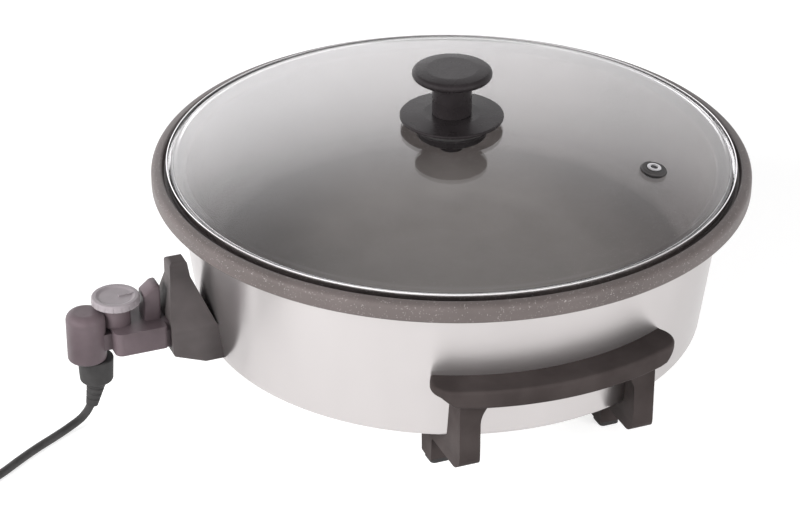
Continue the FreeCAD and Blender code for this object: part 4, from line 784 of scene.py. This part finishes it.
def make_glass(looks):
    """The domed glass: an outer skin, and an inner one set in by its thickness."""
    radii = [GLASS_BORE_R + (DOME_END - GLASS_BORE_R) * i / DOME_STEPS
             for i in range(DOME_STEPS + 1)]
    corners = [(r, dome_z(r), 0) for r in radii]
    corners += [(SHOULDER_R, SHOULDER_Z, SHOULDER_BEND),
                (GLASS_R, GLASS_EDGE_Z, GLASS_EDGE_BEND), (GLASS_R, GLASS_LOW, 0)]
    outer = rounded(corners, closed=False)
    inner = []
    for i, point in enumerate(outer):
        along = outer[min(i + 1, len(outer) - 1)] - outer[max(i - 1, 0)]
        if i == len(outer) - 1:
            along = Vector((0, -1))
        inward = Vector((along.y, -along.x)).normalized()
        inner.append(point + inward * GLASS_THICK)
    piece = turned("glass_dome", outer + inner[::-1], steps=256)
    stands_for(piece, "lid_glass", "lid", looks["glass"])


def make_band(looks):
    """The steel band round the glass, folded in under its edge and up inside it."""
    inner = GLASS_R - GLASS_THICK - BAND_GAP - BAND_THICK
    top = BAND_LOW + BAND_HEIGHT
    fold = BAND_LOW + BAND_THICK
    outline = rounded([
        (inner, BAND_LOW, 0.3), (BAND_R, BAND_LOW, 0.5), (BAND_R, top, 0.3),
        (BAND_R - BAND_THICK, top, 0.3), (BAND_R - BAND_THICK, fold, 0),
        (inner + BAND_THICK, fold, 0), (inner + BAND_THICK, BAND_LOW + BAND_TURN_UP, 0.3),
        (inner, BAND_LOW + BAND_TURN_UP, 0.3),
    ], steps=3)
    stands_for(turned("steel_band", outline), "lid_rim_band", "lid", looks["polished_steel"])


def make_knob(looks):
    """The grip disc on its waisted stem."""
    top = KNOB_DISC_Z + KNOB_DISC_THICK
    outline = rounded([
        (0, KNOB_LOW, 0), (STEM_R, KNOB_LOW, 0.6), (STEM_R, STEM_END, 5),
        (KNOB_R, KNOB_DISC_Z, 3.2), (KNOB_R, KNOB_DISC_Z + KNOB_EDGE_THICK, 3),
        (KNOB_R - KNOB_DISH, top, 12), (0, top, 0),
    ])
    piece = turned("knob_grip", outline, steps=96)
    stands_for(piece, "lid_knob", "lid", looks["knob_plastic"])


def make_boss(looks):
    """The counterpart of the knob: a thin disc with a hub round the screw."""
    under = BOSS_TOP - BOSS_THICK
    low = BOSS_TOP - HUB_DROP
    pocket = BOSS_TOP - BOSS_POCKET_TOP
    outline = rounded([
        (BOSS_BORE_R, BOSS_TOP, 0), (BOSS_R, BOSS_TOP, 0.8), (BOSS_R - BOSS_TAPER, under, 2),
        (HUB_R, under, 1.5), (HUB_R - HUB_TAPER, low, 1), (BOSS_POCKET_R, low, 0.4),
        (BOSS_POCKET_R, pocket, 0), (BOSS_BORE_R, pocket, 0),
    ])
    piece = turned("boss_disc", outline, steps=96)
    stands_for(piece, "knob_boss", "lid", looks["knob_plastic"])


def on_dome():
    """Where the vent sits, square to the glass."""
    tilt = math.asin(VENT_AT_R / DOME_R)
    turn = Matrix.Rotation(math.radians(VENT_ANGLE), 4, "Z")
    place = Matrix.Translation((VENT_AT_R / MM, 0, dome_z(VENT_AT_R) / MM))
    return turn @ place @ Matrix.Rotation(tilt, 4, "Y")


def make_vent(looks):
    """The silicone ring in the glass and the steel eyelet through it."""
    under = -GLASS_THICK
    below = under - VENT_GAP
    ring = turned("vent_ring", rounded([
        (RING_BORE_R, RING_RISE, 0.3), (RING_TOP_R, RING_RISE, 1), (RING_R, RING_EDGE_Z, 0.6),
        (RING_SEAT_R, VENT_GAP, 0), (VENT_HOLE_R, VENT_GAP, 0), (VENT_HOLE_R, below, 0),
        (RING_UNDER_R, below, 0), (RING_LOW_R, under - RING_DROP, 0.5),
        (RING_BORE_R, under - RING_DROP, 0.3),
    ], steps=3), steps=64)
    eyelet = turned("vent_tube", rounded([
        (EYELET_BORE_R, EYELET_RISE, 0.3), (EYELET_HEAD_R, EYELET_RISE, 0.3),
        (EYELET_HEAD_R, EYELET_HEAD_UNDER, 0.2), (EYELET_R, EYELET_HEAD_UNDER, 0),
        (EYELET_R, under - EYELET_DROP, 0.2), (EYELET_BORE_R, under - EYELET_DROP, 0.2),
    ], steps=3), steps=64)
    for piece in (ring, eyelet):
        piece.data.transform(on_dome())
    stands_for(ring, "vent_grommet", "lid", looks["silicone"])
    stands_for(eyelet, "vent_eyelet", "lid", looks["bright_steel"])


# The cord

def relief_line(down):
    """A place on the sleeve's middle line, that far down from its top."""
    lean = math.radians(RELIEF_LEAN)
    return RELIEF_START + Vector((0, -math.sin(lean), -math.cos(lean))) * down


def coil_angle(turn):
    """Where on the coil's circle a turn has come to."""
    return math.radians(COIL_ENTRY) - 2 * math.pi * turn


def coil_point(turn):
    """A place on the coil: it winds in on the table, climbs half a turn and winds out."""
    past_climb = turn - COIL_LOW_TURNS - COIL_CLIMB_TURNS
    if turn <= COIL_LOW_TURNS:
        radius = COIL_INNER_R + COIL_PITCH * (COIL_LOW_TURNS - turn)
        z = CORD_Z
    elif past_climb >= 0:
        radius = COIL_INNER_R + COIL_PITCH * past_climb
        z = CORD_Z + COIL_CLIMB
    else:
        radius = COIL_INNER_R
        share = (turn - COIL_LOW_TURNS) / COIL_CLIMB_TURNS
        z = CORD_Z + COIL_CLIMB * (1 - math.cos(math.pi * share)) / 2
    angle = coil_angle(turn)
    return COIL_AT + Vector((radius * math.cos(angle), radius * math.sin(angle), z))


def coil_direction(turn):
    """Which way the cord runs at a place on the coil."""
    angle = coil_angle(turn)
    return Vector((math.sin(angle), -math.cos(angle), 0))


def plug_line():
    """Middle of the plug's tail end, and the direction in which its pins point."""
    tilt = math.atan((PLUG_R - PLUG_TAIL_R) / (PLUG_LENGTH - PLUG_COLLAR - PLUG_TAIL))
    heading = math.radians(PLUG_HEADING)
    along = Vector((math.cos(heading) * math.cos(tilt), math.sin(heading) * math.cos(tilt),
                    math.sin(tilt)))
    z = PLUG_TAIL_R * math.cos(tilt) - PLUG_TAIL * math.sin(tilt) + FLOOR_GAP
    return PLUG_AT + Vector((0, 0, z)), along


def cord_points():
    """The cord's route from the sleeve along the table and round the coil to the plug."""
    tail = (RELIEF_START.z - RELIEF_TIP_Z) / math.cos(math.radians(RELIEF_LEAN))
    below = relief_line(tail + BELOW_RELIEF)
    entry = coil_point(0) - coil_direction(0) * 2 * CORD_R
    points = [relief_line(tail - IN_RELIEF), below]
    points += [Vector((x, below.y + y, CORD_Z)) for x, y in FLOOR_BENDS]
    points += [entry - coil_direction(0) * COIL_RUN_IN, entry]
    steps = int(COIL_STEPS * COIL_TURNS)
    points += [coil_point(i / COIL_STEPS) for i in range(steps + 1)]
    ahead = coil_direction(COIL_TURNS)
    start = points[-1] + ahead * 2 * CORD_R
    landed = start + ahead * COIL_LANDING
    plug, along = plug_line()
    lift = plug - along * ((plug.z - CORD_Z) / along.z)
    points += [start + ahead * COIL_RUN_OUT, Vector((landed.x, landed.y, CORD_Z)), lift,
               plug + along * IN_PLUG]
    return points, relief_line(tail)


def make_cord(looks):
    """The mains cord as one smooth curve."""
    points, leaves = cord_points()
    curve = bpy.data.curves.new("mains_cord", "CURVE")
    curve.dimensions = "3D"
    curve.bevel_depth = CORD_R
    curve.bevel_resolution = 6
    curve.resolution_u = 8
    curve.use_fill_caps = True
    spline = curve.splines.new("NURBS")
    spline.points.add(len(points) - 1)
    for point, place in zip(spline.points, points):
        point.co = (*place, 1)
    spline.order_u = 3
    spline.use_endpoint_u = True
    cord = bpy.data.objects.new("mains_cord", curve)
    bpy.context.scene.collection.objects.link(cord)
    curve.materials.append(looks["cord"])
    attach(cord, "connector")
    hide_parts("power_cord", "cord_coil", "cord_tail")


make_camera()
make_world()
make_floor()
area_light(*KEY_LAMP)
area_light(*FILL_LAMP)
looks = make_materials()
dress_nodes(looks)
make_pan(looks)
make_shell(looks)
make_handles(looks)
make_hood(looks)
make_glass(looks)
make_band(looks)
make_knob(looks)
make_boss(looks)
make_vent(looks)
make_cord(looks)
bpy.context.scene.view_settings.view_transform = "Standard"
